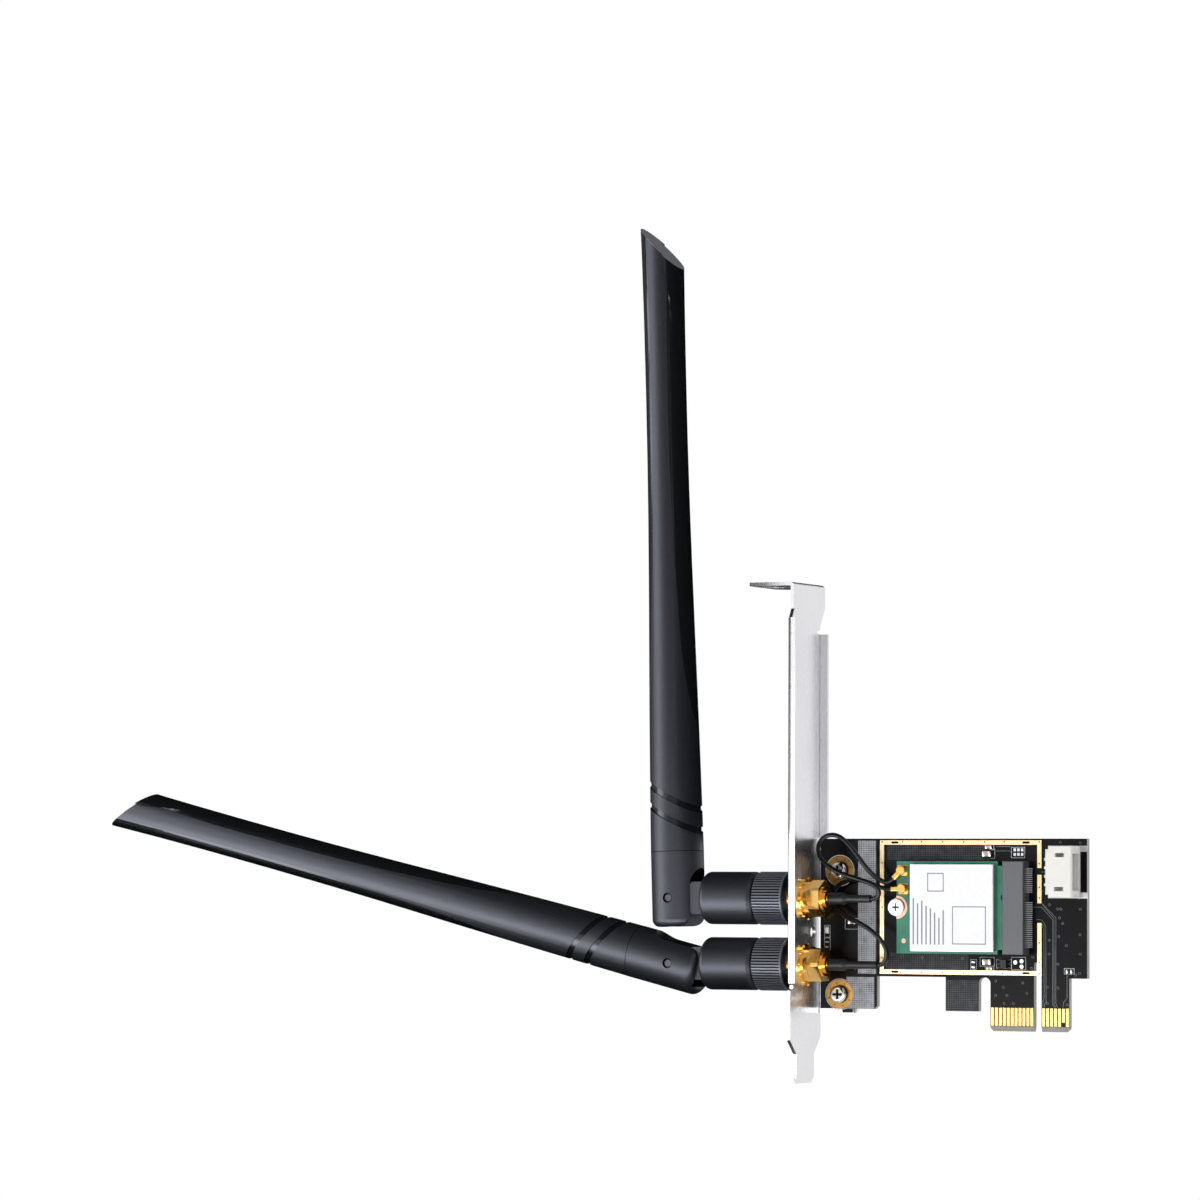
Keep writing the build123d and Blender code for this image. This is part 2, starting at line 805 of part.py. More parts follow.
def radio_socket():
    """The card-edge socket of the radio and its row of soldered contacts."""
    right = socket_left + socket_length
    slot_low = radio_lift - 0.05
    slot_high = radio_face + 0.05
    slot_end = radio_left + radio_length + 0.3
    with BuildPart() as housing:
        with BuildSketch(face_plane(0.15)):
            with Locations((socket_left, radio_middle)):
                Rectangle(socket_length, socket_width, align=(Align.MIN, Align.CENTER))
        extrude(amount=socket_height - 0.15)
        chamfer(housing.faces().sort_by(Axis.Y)[0].edges(), length=0.15)
        # The card slot opens to the left, with one rib at the key.
        with BuildSketch(cross_plane(socket_left - 1)):
            with Locations((-(slot_low + slot_high) / 2, radio_middle)):
                Rectangle(slot_high - slot_low, radio_edge_width + 0.1)
        extrude(amount=slot_end - socket_left + 1, mode=Mode.SUBTRACT)
        with BuildSketch(cross_plane(slot_end)):
            with Locations((-(slot_low + slot_high) / 2, socket_key)):
                Rectangle(slot_high - slot_low, 1.0)
        extrude(amount=-2.8)
        # Each contact stands in its own narrow groove in the right face.
        first = radio_middle - contact_pitch * (contact_count - 1) / 2
        with BuildSketch(cross_plane(right)):
            for i in range(contact_count):
                height = first + contact_pitch * i
                if abs(height - socket_key) > 1.0:
                    with Locations((-1.7, height)):
                        Rectangle(3.2, contact_width + 0.04)
        extrude(amount=-0.25, mode=Mode.SUBTRACT)
    save(housing, "radio_socket")
    with BuildPart() as contacts:
        for i in range(contact_count):
            height = first + contact_pitch * i
            if abs(height - socket_key) > 1.0:
                with BuildSketch(Plane.XY.offset(height - contact_width / 2)):
                    with BuildLine():
                        Polyline(
                            (right - 0.22, -3.2),
                            (right - 0.06, -3.2),
                            (right - 0.06, -0.2),
                            (right + 0.75, -0.16),
                            (right + 0.75, -0.01),
                            (right - 0.22, -0.01),
                            close=True,
                        )
                    make_face()
                extrude(amount=contact_width)
    save(contacts, "socket_contacts")


def usb_header():
    """The four-way side-entry header: housing, four pins and two soldered hold-down tabs."""
    right = header_left + header_length
    low = header_middle - header_width / 2
    high = header_middle + header_width / 2
    cavity = header_height - 2 * header_wall
    cavity_width = header_width - 2 * header_wall - 2.0
    pins = [header_middle + header_pitch * (i - 1.5) for i in range(4)]
    with BuildPart() as housing:
        with BuildSketch(face_plane(0.1)):
            with Locations((header_left, header_middle)):
                Rectangle(header_length, header_width, align=(Align.MIN, Align.CENTER))
            with Locations((header_left, low), (header_left, high)):
                Rectangle(1.4, 1.6, mode=Mode.SUBTRACT)
        extrude(amount=header_height - 0.1)
        chamfer(housing.faces().sort_by(Axis.Y)[0].edges(), length=0.2)
        with BuildSketch(cross_plane(right)):
            with Locations((-header_height / 2, header_middle)):
                Rectangle(cavity, cavity_width)
        extrude(amount=-header_length + 1.2, mode=Mode.SUBTRACT)
        # Two windows for the plug's latches and two notches beside the mouth.
        with BuildSketch(face_plane(header_height)):
            with Locations((header_left + 3.6, high - 2.15), (header_left + 3.4, low + 2.15)):
                Rectangle(2.3, 1.0)
        extrude(amount=-2 * header_wall, mode=Mode.SUBTRACT)
        with BuildSketch(cross_plane(right)):
            with Locations((-header_height / 2, low), (-header_height / 2, high)):
                Rectangle(2.4, 1.4)
        extrude(amount=-1.2, mode=Mode.SUBTRACT)
        with BuildSketch(cross_plane(header_left)):
            with Locations(*[(-1.5, height) for height in pins]):
                Rectangle(0.56, 0.66)
        extrude(amount=2.0, mode=Mode.SUBTRACT)
    save(housing, "usb_header")
    with BuildPart() as metal:
        for height in pins:
            with BuildSketch(Plane.XY.offset(height - 0.3)):
                with BuildLine():
                    Polyline(
                        (right - 1.4, -1.75),
                        (header_left - 0.6, -1.75),
                        (header_left - 0.6, -0.5),
                        (header_left - 2.4, -0.5),
                        (header_left - 2.4, -0.01),
                        (header_left - 0.15, -0.01),
                        (header_left - 0.15, -1.25),
                        (right - 1.4, -1.25),
                        close=True,
                    )
                make_face()
            extrude(amount=0.6)
    save(metal, "header_pins")
    with BuildPart() as tabs:
        for edge, outward in ((high, 1), (low, -1)):
            with BuildSketch(face_plane(0.01)):
                with Locations((right - 0.4, edge + outward * 0.05)):
                    Rectangle(
                        2.2,
                        1.4,
                        align=(Align.MIN, Align.MAX if outward > 0 else Align.MIN),
                    )
            extrude(amount=0.08)
    save(tabs, "header_tabs")


def small_parts():
    """The loose electronic parts on the board, group by group."""
    capacitors = [
        (-12.7, 42.0, 2.1, 1.25, 0.95),
        (-12.4, 43.6, 1.6, 0.7, 0.5),
        (-12.7, 16.35, 2.0, 1.25, 0.95),
        (-12.2, 14.85, 1.3, 0.6, 0.4),
        (-47.7, 25.65, 2.0, 1.0, 0.7),
    ]
    resistors = [
        (-16.3, 15.7, 0.8, 1.6, 0.4),
        (8.05, 14.3, 1.5, 0.8, 0.4),
        (-54.35, 20.1, 0.8, 1.6, 0.4),
    ]
    for name, places in (("capacitors", capacitors), ("resistors", resistors)):
        with BuildPart() as group:
            for x, z, length, width, height in places:
                with BuildSketch(face_plane(0.02)):
                    with Locations((x, z)):
                        Rectangle(length, width)
                extrude(amount=height)
            chamfer(group.faces().filter_by(Plane.XZ).edges(), length=0.05)
        save(group, name)
    with BuildPart() as lamp:
        with BuildSketch(face_plane(0.02)):
            with Locations((-54.35, 23.6)):
                Rectangle(0.8, 1.6)
        extrude(amount=0.25)
        with BuildSketch(face_plane(0.27)):
            with Locations((-54.35, 23.6)):
                Rectangle(0.8, 1.0)
        extrude(amount=0.35)
    save(lamp, "status_lamp")
    with BuildPart() as regulator:
        with BuildSketch(face_plane(0.1)):
            with Locations((-8.5, 15.95)):
                Rectangle(1.7, 2.1)
        extrude(amount=0.9)
        chamfer(regulator.faces().sort_by(Axis.Y)[0].edges(), length=0.12)
        with BuildSketch(face_plane(0.02)):
            with Locations((-8.5, 15.95)):
                with GridLocations(2.2, 0.95, 2, 3):
                    Rectangle(0.9, 0.4)
        extrude(amount=0.2)
    save(regulator, "regulator")
    with BuildPart() as pads:
        with BuildSketch(face_plane(0)):
            with Locations((-4.9, 42.4)):
                with GridLocations(0.95, 1.1, 3, 2):
                    Rectangle(0.6, 0.7)
            with Locations((-5.7, 16.3), (-4.1, 16.6), (-4.1, 15.3)):
                Circle(0.5)
        extrude(amount=plating)
    save(pads, "test_pads")


def collar(side):
    """The knurled plastic collar, its brass threaded insert and the recess between them."""
    place = (port_y, port_heights[side])
    insert_radius = 4.6
    knurl_start = collar_far + neck_width
    with BuildPart() as shell:
        with BuildSketch(cross_plane(collar_far)):
            with Locations(place):
                Circle(collar_radius)
        extrude(amount=collar_length)
        ends = shell.edges().filter_by(GeomType.CIRCLE)
        chamfer(ends.group_by(Axis.X)[-1], length=1.1, length2=0.75)
        # A narrow neck at the left end, from which the knurl's grooves run to the smooth taper.
        with BuildSketch(cross_plane(collar_far)):
            with Locations(place):
                Circle(collar_radius + 1)
                Circle(collar_radius - knurl_depth, mode=Mode.SUBTRACT)
        extrude(amount=neck_width, mode=Mode.SUBTRACT)
        with BuildSketch(cross_plane(knurl_start)):
            with Locations(place):
                with PolarLocations(collar_radius, knurl_ribs):
                    Rectangle(2 * knurl_depth, knurl_groove)
        extrude(amount=knurl_length, mode=Mode.SUBTRACT)
        with BuildSketch(cross_plane(collar_far)):
            with Locations(place):
                Circle(insert_radius + 0.02)
        extrude(amount=collar_length, mode=Mode.SUBTRACT)
    save(shell, f"{side}_collar")
    wall = 0.8
    neck_hole = 2.12
    with BuildPart() as insert:
        with BuildSketch(cross_plane(collar_far + 0.15)):
            with Locations(place):
                Circle(insert_radius)
                Circle(neck_hole, mode=Mode.SUBTRACT)
        extrude(amount=wall)
        with BuildSketch(cross_plane(collar_far + 0.15 + wall)):
            with Locations(place):
                Circle(insert_radius)
                Circle(thread_radius + running_gap, mode=Mode.SUBTRACT)
        extrude(amount=collar_length - wall - 0.6)
    save(insert, f"{side}_collar_insert")


def antenna_base(side):
    """The antenna's base: a turned plastic barrel with a flat tongue round the hinge pin."""
    height = port_heights[side]
    place = (port_y, height)
    barrel_bore = 2.0
    bore_depth = 6.0
    with BuildPart() as base:
        with BuildSketch(cross_plane(base_far)):
            with Locations(place):
                Circle(base_radius)
        extrude(amount=base_length)
        fillet(base.edges().filter_by(GeomType.CIRCLE).group_by(Axis.X)[0], radius=1.3)
        chamfer(base.edges().filter_by(GeomType.CIRCLE).group_by(Axis.X)[-1], length=0.8, length2=0.55)
        with BuildSketch(Plane.XZ.offset(-port_y - tongue_thickness / 2)):
            with Locations((hinge_x, height)):
                Circle(tongue_height / 2)
                Rectangle(
                    hinge_reach + 2.0,
                    tongue_height,
                    align=(Align.MIN, Align.CENTER),
                )
            with Locations((hinge_x + tongue_root_reach, height)):
                Rectangle(
                    hinge_reach + 2.0 - tongue_root_reach,
                    tongue_root_height,
                    align=(Align.MIN, Align.CENTER),
                )
        extrude(amount=tongue_thickness)
        # A slit down the middle of the tongue lets the lead bend with the hinge.
        with BuildSketch(Plane.XZ.offset(-port_y - 0.8)):
            with Locations((hinge_x - 0.5, height)):
                Rectangle(
                    hinge_reach - 0.5,
                    tongue_root_height,
                    align=(Align.MIN, Align.CENTER),
                )
        extrude(amount=1.6, mode=Mode.SUBTRACT)
        with BuildSketch(Plane.XZ.offset(-port_y - base_radius)):
            with Locations((hinge_x, height)):
                Circle(hinge_pin_radius + running_gap)
        extrude(amount=2 * base_radius, mode=Mode.SUBTRACT)
        with BuildSketch(cross_plane(base_near)):
            with Locations(place):
                Circle(barrel_bore)
        extrude(amount=-bore_depth, mode=Mode.SUBTRACT)
    save(base, f"{side}_base")
    with BuildPart() as ferrule:
        with BuildSketch(cross_plane(base_near - bore_depth + 0.5)):
            with Locations(place):
                Circle(barrel_bore)
        extrude(amount=bore_depth - 0.5 + collar_far + 1.1 - base_near)
        with BuildSketch(cross_plane(collar_far + 1.1)):
            with Locations(place):
                Circle(2.8)
        extrude(amount=shaft_end - 0.2 - collar_far - 1.1)
        with BuildSketch(cross_plane(shaft_end - 0.2)):
            with Locations(place):
                Circle(1.9)
        extrude(amount=3.4)
        with BuildSketch(cross_plane(shaft_end + 3.2)):
            with Locations(place):
                Circle(contact_pin_radius + running_gap)
        extrude(amount=-4.0, mode=Mode.SUBTRACT)
    save(ferrule, f"{side}_ferrule")


def clevis(side):
    """The whip's root: a round body with two ears over the tongue, and the pin through them."""
    heel_round_centre = -heel_length + heel_round
    spigot_radius = 3.9
    spigot_end = seam_distance + 5.0
    with BuildPart() as root:
        with BuildSketch(whip_plane(side, -heel_length)):
            Circle(whip_root_radius)
        extrude(amount=heel_length + seam_distance)
        rim = root.edges().filter_by(GeomType.CIRCLE)
        fillet(rim.sort_by_distance(whip_plane(side, -heel_length).origin)[0], radius=heel_edge)
        # The slot between the ears has a round end. It is open at the heel and on the short side.
        across = whip_plane(side)
        floor = Plane(origin=across.origin, x_dir=(0, 1, 0), z_dir=across.x_dir).offset(-slot_floor)
        with BuildSketch(floor):
            with Locations((0, slot_top - slot_half)):
                Circle(slot_half)
                Rectangle(
                    2 * slot_half,
                    slot_top - slot_half + heel_length + 1,
                    align=(Align.CENTER, Align.MAX),
                )
        extrude(amount=slot_floor + whip_root_radius + 1, mode=Mode.SUBTRACT)
        # The corner that swings past the base is rounded off.
        side_view = Plane(origin=across.origin, x_dir=across.x_dir, z_dir=(0, 1, 0))
        with BuildSketch(side_view.offset(-2 * whip_root_radius)):
            with BuildLine():
                far = whip_root_radius + 1
                edge = sqrt(whip_root_radius**2 - slot_half**2)
                Polyline(
                    (edge - heel_round, heel_length),
                    (edge - heel_round, heel_length + 1),
                    (far, heel_length + 1),
                    (far, -heel_round_centre),
                    (edge, -heel_round_centre),
                )
                ThreePointArc(
                    (edge, -heel_round_centre),
                    (
                        edge - heel_round + heel_round * cos(radians(45)),
                        -heel_round_centre + heel_round * sin(radians(45)),
                    ),
                    (edge - heel_round, heel_length),
                )
            make_face()
        extrude(amount=4 * whip_root_radius, mode=Mode.SUBTRACT)
        with BuildSketch(Plane.XZ.offset(-port_y - 2 * whip_root_radius)):
            with Locations((hinge_x, port_heights[side])):
                Circle(hinge_pin_radius + 0.02)
        extrude(amount=4 * whip_root_radius, mode=Mode.SUBTRACT)
        with BuildSketch(whip_plane(side, seam_distance)):
            Circle(spigot_radius)
        extrude(amount=spigot_end - seam_distance)
        with BuildSketch(whip_plane(side, 0)):
            Circle(1.3)
        extrude(amount=spigot_end, mode=Mode.SUBTRACT)
    save(root, f"{side}_clevis")
    pin_half = whip_root_radius - 0.55
    with BuildPart() as pin:
        with BuildSketch(Plane.XZ.offset(-port_y - pin_half)):
            with Locations((hinge_x, port_heights[side])):
                Circle(hinge_pin_radius)
        extrude(amount=2 * pin_half)
        chamfer(pin.edges().filter_by(GeomType.CIRCLE), length=0.25)
    save(pin, f"{side}_hinge_pin")


# Sections of the radome: distance from the hinge, half width, half thickness and the place of the
# crease between the satin band and the bevel, as half width.
radome_sections = [
    (seam_distance, 6.45, 6.45, 5.9),
    (25.0, 6.3, 6.28, 5.7),
    (40.0, 6.12, 5.9, 5.3),
    (58.0, 5.85, 5.3, 4.3),
    (77.0, 5.5, 4.75, 3.2),
    (97.0, 5.2, 4.4, 2.4),
    (118.0, 5.08, 4.25, 2.15),
    (140.0, 5.15, 4.2, 2.3),
    (168.0, 5.6, 4.2, 3.2),
]


def radome(side):
    """The hollow whip cover: lofted from round to a bevelled blade, cut off at a slant."""
    bore = 4.0
    with BuildPart() as cover:
        for distance, half_width, half_thickness, crease in radome_sections:
            rise = half_thickness * sqrt(1 - (crease / half_width) ** 2)
            with BuildSketch(whip_plane(side, distance)):
                with BuildLine():
                    ThreePointArc((-crease, rise), (0, half_thickness), (crease, rise))
                    ThreePointArc((crease, rise), (half_width, 0), (crease, -rise))
                    ThreePointArc((crease, -rise), (0, -half_thickness), (-crease, -rise))
                    ThreePointArc((-crease, -rise), (-half_width, 0), (-crease, rise))
                make_face()
        loft()
        # The tip slopes down towards the short side.
        tip = whip_plane(side, whip_length)
        slanted = Plane(
            origin=tip.origin,
            z_dir=tip.z_dir * cos(radians(tip_angle)) + tip.x_dir * sin(radians(tip_angle)),
        )
        split(bisect_by=slanted, keep=Keep.BOTTOM)
        # Two slanted grooves ring the whip near its root.
        for distance in ring_distances:
            middle = whip_plane(side, distance)
            tilt = radians(ring_angle)
            across = Plane(
                origin=middle.origin,
                x_dir=middle.y_dir,
                z_dir=middle.z_dir * cos(tilt) + middle.x_dir * sin(tilt),
            )
            with BuildPart(mode=Mode.PRIVATE) as ring:
                with BuildSketch(across.offset(-ring_width / 2)):
                    Circle(2 * whip_root_radius)
                extrude(amount=ring_width)
                with BuildSketch(whip_plane(side, distance - 8)):
                    Circle(6.35 - ring_depth)
                with BuildSketch(whip_plane(side, distance + 8)):
                    Circle(6.2 - ring_depth)
                loft(mode=Mode.SUBTRACT)
            add(ring.part, mode=Mode.SUBTRACT)
        with BuildSketch(whip_plane(side, seam_distance)):
            Circle(bore)
        extrude(amount=5.2, mode=Mode.SUBTRACT)
        with BuildSketch(whip_plane(side, seam_distance)):
            Circle(2.6)
        extrude(amount=125.0, mode=Mode.SUBTRACT)
    save(cover, f"{side}_radome")


def radiator(side):
    """The brass radiator inside a whip: a feed, a wide sleeve and a thin rod."""
    with BuildPart() as rod:
        for start, radius, length in (
            (8.0, 1.25, 9.0),
            (17.0, 2.1, 28.0),
            (45.0, 0.8, 60.0),
        ):
            with BuildSketch(whip_plane(side, start)):
                Circle(radius)
            extrude(amount=length)
    save(rod, f"{side}_radiator")


circuit_board()
edge_contacts()
ground_fence()
screw_pads()
board_screws()
bracket()
radio_module()
radio_pads()
radio_jacks()
radio_mount()
radio_socket()
usb_header()
small_parts()
for side in port_heights:
    jack(side)
    jack_core(side)
    lock_washer(side)
    outer_nut(side)
    crimp_sleeve(side)
    coax_lead(side)
    lead_plug(side)
    collar(side)
    antenna_base(side)
    clevis(side)
    radome(side)
    radiator(side)
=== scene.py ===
import json
import math

import bpy
from mathutils import Matrix, Vector


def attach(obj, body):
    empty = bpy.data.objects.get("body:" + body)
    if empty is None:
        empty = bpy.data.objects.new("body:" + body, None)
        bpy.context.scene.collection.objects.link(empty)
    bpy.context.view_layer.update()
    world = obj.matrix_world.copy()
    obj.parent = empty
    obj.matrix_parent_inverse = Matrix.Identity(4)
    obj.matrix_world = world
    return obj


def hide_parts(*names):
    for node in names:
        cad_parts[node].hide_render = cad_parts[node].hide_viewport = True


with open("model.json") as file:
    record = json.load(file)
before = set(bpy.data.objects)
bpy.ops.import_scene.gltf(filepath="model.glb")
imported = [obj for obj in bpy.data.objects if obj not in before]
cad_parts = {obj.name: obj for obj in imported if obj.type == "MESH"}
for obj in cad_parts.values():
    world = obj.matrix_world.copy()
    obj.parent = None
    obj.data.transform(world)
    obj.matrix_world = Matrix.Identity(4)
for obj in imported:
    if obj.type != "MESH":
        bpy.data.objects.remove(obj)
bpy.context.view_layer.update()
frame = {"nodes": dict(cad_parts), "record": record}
MM = 0.001
home = {
    node_name: body
    for body, node_names in frame["record"]["behaviour"]["bodies"].items()
    for node_name in node_names
}


# Camera: a long lens a little over a metre away, level with the card and looking slightly up,
# from in front of the component side and towards the bracket's inner face.
camera_place = (462.62, -1163.25, 34.77)
sight_line = (-0.4447, 0.8941, 0.0536)
camera_roll = 0.229
camera_data = bpy.data.cameras.new("studio_camera")
camera_data.sensor_width = 36.0
camera_data.sensor_fit = "HORIZONTAL"
camera_data.lens = 158.0
camera_data.clip_start = 0.05
camera_data.clip_end = 20.0
camera = bpy.data.objects.new("studio_camera", camera_data)
bpy.context.scene.collection.objects.link(camera)
camera.matrix_world = (
    Matrix.Translation(Vector(camera_place) * MM)
    @ Vector(sight_line).to_track_quat("-Z", "Y").to_matrix().to_4x4()
    @ Matrix.Rotation(math.radians(camera_roll), 4, "Z")
)
bpy.context.scene.camera = camera


# Bracket: one sheet of cold-rolled steel, 0.86 mm, pressed, folded and nickel plated. The plating is
# bright, with a soft satin gradient from the sheet's rolled surface and crisp lit edges.
def colour(code):
    """A #RRGGBB colour as linear red, green, blue and alpha."""
    parts = [int(code[i : i + 2], 16) / 255 for i in (1, 3, 5)]
    parts = [c / 12.92 if c <= 0.04045 else ((c + 0.055) / 1.055) ** 2.4 for c in parts]
    return (*parts, 1.0)


def add_node(tree, kind, inputs=None, **settings):
    """A node with its settings. An input is a value, or another node's output to link from."""
    made = tree.nodes.new(kind)
    for name, value in settings.items():
        setattr(made, name, value)
    for name, value in (inputs or {}).items():
        if isinstance(value, bpy.types.NodeSocket):
            tree.links.new(value, made.inputs[name])
        else:
            made.inputs[name].default_value = value
    return made


def start_material(name, **values):
    """A material with a plain shader, its tree and that shader. Values go to the shader's sockets."""
    material = bpy.data.materials.new(name)
    material.use_nodes = True
    tree = material.node_tree
    shader = tree.nodes["Principled BSDF"]
    for key, value in values.items():
        shader.inputs[key.replace("_", " ")].default_value = value
    return material, tree, shader


def start_finish(name, low, high, scale, detail=2.0, **values):
    """A material whose colour drifts between two codes, with its scale in spots to the metre.

    It gives the material, its tree and shader, and the coordinate, drift and colour nodes.
    """
    material, tree, shader = start_material(name, **values)
    place = add_node(tree, "ShaderNodeTexCoord")
    drift = add_node(
        tree,
        "ShaderNodeTexNoise",
        {"Vector": place.outputs["Object"], "Scale": scale, "Detail": detail},
    )
    tint = add_node(
        tree,
        "ShaderNodeMix",
        {"Factor": drift.outputs["Fac"], "A": colour(low), "B": colour(high)},
        data_type="RGBA",
    )
    tree.links.new(tint.outputs["Result"], shader.inputs["Base Color"])
    return material, tree, shader, place, drift, tint


def deselect():
    """Nothing is selected, so that the next call acts on its own piece alone."""
    bpy.ops.object.select_all(action="DESELECT")


def refine(node_name, piece_name, material):
    """A dressed copy of a CAD node, with the CAD's own smooth normals, stands for the node."""
    source = frame["nodes"][node_name]
    piece = source.copy()
    piece.data = source.data.copy()
    piece.name = piece_name
    piece.data.name = piece_name
    bpy.context.scene.collection.objects.link(piece)
    piece.parent = None
    piece.matrix_world = Matrix.Identity(4)
    piece.data.materials.clear()
    piece.data.materials.append(material)
    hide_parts(node_name)
    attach(piece, home[node_name])
    return piece


# Nickel plate over rolled steel: a bright neutral metal, blurred lengthwise by the rolling grain.
nickel, tree, shader, place = start_finish(
    "nickel_plated_sheet", "#DADADD", "#E8E8EB", 60.0, Metallic=1.0
)[:4]
rolled = add_node(
    tree, "ShaderNodeMapping", {"Vector": place.outputs["Object"], "Scale": (1.0, 1.0, 0.12)}
)
grain = add_node(
    tree,
    "ShaderNodeTexNoise",
    {"Vector": rolled.outputs["Vector"], "Scale": 2600.0, "Detail": 4.0},
)
rough = add_node(
    tree,
    "ShaderNodeMapRange",
    {"Value": grain.outputs["Fac"], "To Min": 0.25, "To Max": 0.31},
)
bump = add_node(
    tree,
    "ShaderNodeBump",
    {"Height": grain.outputs["Fac"], "Strength": 0.05, "Distance": 0.00002},
)
tree.links.new(rough.outputs["Result"], shader.inputs["Roughness"])
tree.links.new(bump.outputs["Normal"], shader.inputs["Normal"])
refine("bracket", "bracket_sheet", nickel)


# Circuit board: glass-epoxy laminate with copper under a black solder mask. Where copper is left
# off, the weave of the glass cloth shows through; its cut edges and the bevel ground on the tongue
# are a duller brown grey.
facing_limit = 0.97
solder_mask, tree, shader, place, _, mask_tint = start_finish(
    "black_solder_mask",
    "#040405",
    "#0B0B0E",
    180.0,
    4.0,
    Roughness=0.2,
    IOR=1.5,
    Specular_IOR_Level=0.15,
)

# Where a face turns off the board's two sides, the mask gives way to the cut laminate's brown grey.
facing = add_node(tree, "ShaderNodeSeparateXYZ", {"Vector": place.outputs["Normal"]})
flat = add_node(tree, "ShaderNodeMath", {0: facing.outputs["Y"]}, operation="ABSOLUTE")
on_face = add_node(
    tree, "ShaderNodeMath", {0: flat.outputs["Value"], 1: facing_limit}, operation="GREATER_THAN"
)
edge_tint = add_node(
    tree,
    "ShaderNodeMix",
    {
        "Factor": on_face.outputs["Value"],
        "A": colour("#8C8A83"),
        "B": mask_tint.outputs["Result"],
    },
    data_type="RGBA",
)
orange_peel = add_node(
    tree, "ShaderNodeTexNoise", {"Vector": place.outputs["Object"], "Scale": 700.0}
)
bump = add_node(
    tree,
    "ShaderNodeBump",
    {"Height": orange_peel.outputs["Fac"], "Strength": 0.15, "Distance": 0.00004},
)
tree.links.new(edge_tint.outputs["Result"], shader.inputs["Base Color"])
tree.links.new(bump.outputs["Normal"], shader.inputs["Normal"])
refine("circuit_board", "board_laminate", solder_mask)


# Bare laminate under the mask: areas with no copper, printed here as skins 0.02 mm proud. The
# glass cloth's square weave, 0.45 mm a thread, lights up in rows of small grey dots.
thread_pitch = 0.45
skin_middle = -0.005
skin_thickness = 0.03


def slab(name, centre, size, material, edge=0.0):
    """A block at its place in millimetres, edges broken, with its mesh in the object's frame."""
    deselect()
    bpy.ops.mesh.primitive_cube_add(size=1.0, location=[c * MM for c in centre])
    piece = bpy.context.object
    piece.name = name
    piece.data.name = name
    piece.scale = [s * MM for s in size]
    bpy.ops.object.transform_apply(location=True, rotation=True, scale=True)
    if edge:
        bevel = piece.modifiers.new("edge", "BEVEL")
        bevel.width = edge * MM
        bevel.segments = 2
        bpy.ops.object.modifier_apply(modifier=bevel.name)
        bpy.ops.object.shade_smooth_by_angle(angle=math.radians(40))
    piece.data.materials.append(material)
    return piece


def join(name, parts):
    """One piece made of several, with its mesh at the origin."""
    deselect()
    for part in parts:
        part.select_set(True)
    bpy.context.view_layer.objects.active = parts[0]
    bpy.ops.object.join()
    whole = bpy.context.view_layer.objects.active
    whole.name = name
    whole.data.name = name
    return whole


def laminate(name, low, high, threshold):
    """Bare glass laminate: its colour between threads and on their crossings."""
    material, tree, shader = start_material(name, Roughness=0.3, IOR=1.5, Specular_IOR_Level=0.2)
    place = add_node(tree, "ShaderNodeTexCoord")
    spread = add_node(tree, "ShaderNodeSeparateXYZ", {"Vector": place.outputs["Object"]})
    threads = []
    for axis in ("X", "Z"):
        turns = add_node(
            tree,
            "ShaderNodeMath",
            {0: spread.outputs[axis], 1: math.pi / (thread_pitch * MM)},
            operation="MULTIPLY",
        )
        wave = add_node(tree, "ShaderNodeMath", {0: turns.outputs["Value"]}, operation="SINE")
        thread = add_node(
            tree, "ShaderNodeMath", {0: wave.outputs["Value"]}, operation="ABSOLUTE"
        )
        threads.append(thread.outputs["Value"])
    crossing = add_node(
        tree,
        "ShaderNodeMath",
        {0: threads[0], 1: threads[1]},
        operation="MULTIPLY",
    )
    uneven = add_node(
        tree,
        "ShaderNodeTexNoise",
        {"Vector": place.outputs["Object"], "Scale": 500.0, "Detail": 3.0},
    )
    wear_and_painted_shade = add_node(
        tree,
        "ShaderNodeMath",
        {0: uneven.outputs["Fac"], 1: 0.9, 2: crossing.outputs["Value"]},
        operation="MULTIPLY_ADD",
    )
    knots = add_node(
        tree,
        "ShaderNodeMapRange",
        {"Value": wear_and_painted_shade.outputs["Value"], "From Min": threshold, "From Max": threshold + 0.5},
    )
    tint = add_node(
        tree,
        "ShaderNodeMix",
        {"Factor": knots.outputs["Result"], "A": colour(low), "B": colour(high)},
        data_type="RGBA",
    )
    tree.links.new(tint.outputs["Result"], shader.inputs["Base Color"])
    return material


# Two laminates: pale where bare cloth lies over copper-free core, dark where the mask is thicker.
pale_laminate = laminate("pale_glass_laminate", "#3C3D42", "#A9ABB2", 0.5)
dark_laminate = laminate("dark_glass_laminate", "#08090B", "#50525A", 0.95)
bare_areas = [
    (-44.0, 29.2, 4.7, 31.9, pale_laminate),
    (-45.7, 8.6, 7.2, 7.6, pale_laminate),
    (-19.3, 8.35, 8.2, 7.2, dark_laminate),
    (-25.5, 42.3, 26.5, 3.5, dark_laminate),
    (-28.5, 16.2, 21.5, 4.2, dark_laminate),
]
skins = [
    slab("skin", (x, skin_middle, z), (width, skin_thickness, height), cloth)
    for x, z, width, height, cloth in bare_areas
]
laminate_areas = join("laminate_areas", skins)
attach(laminate_areas, "card")


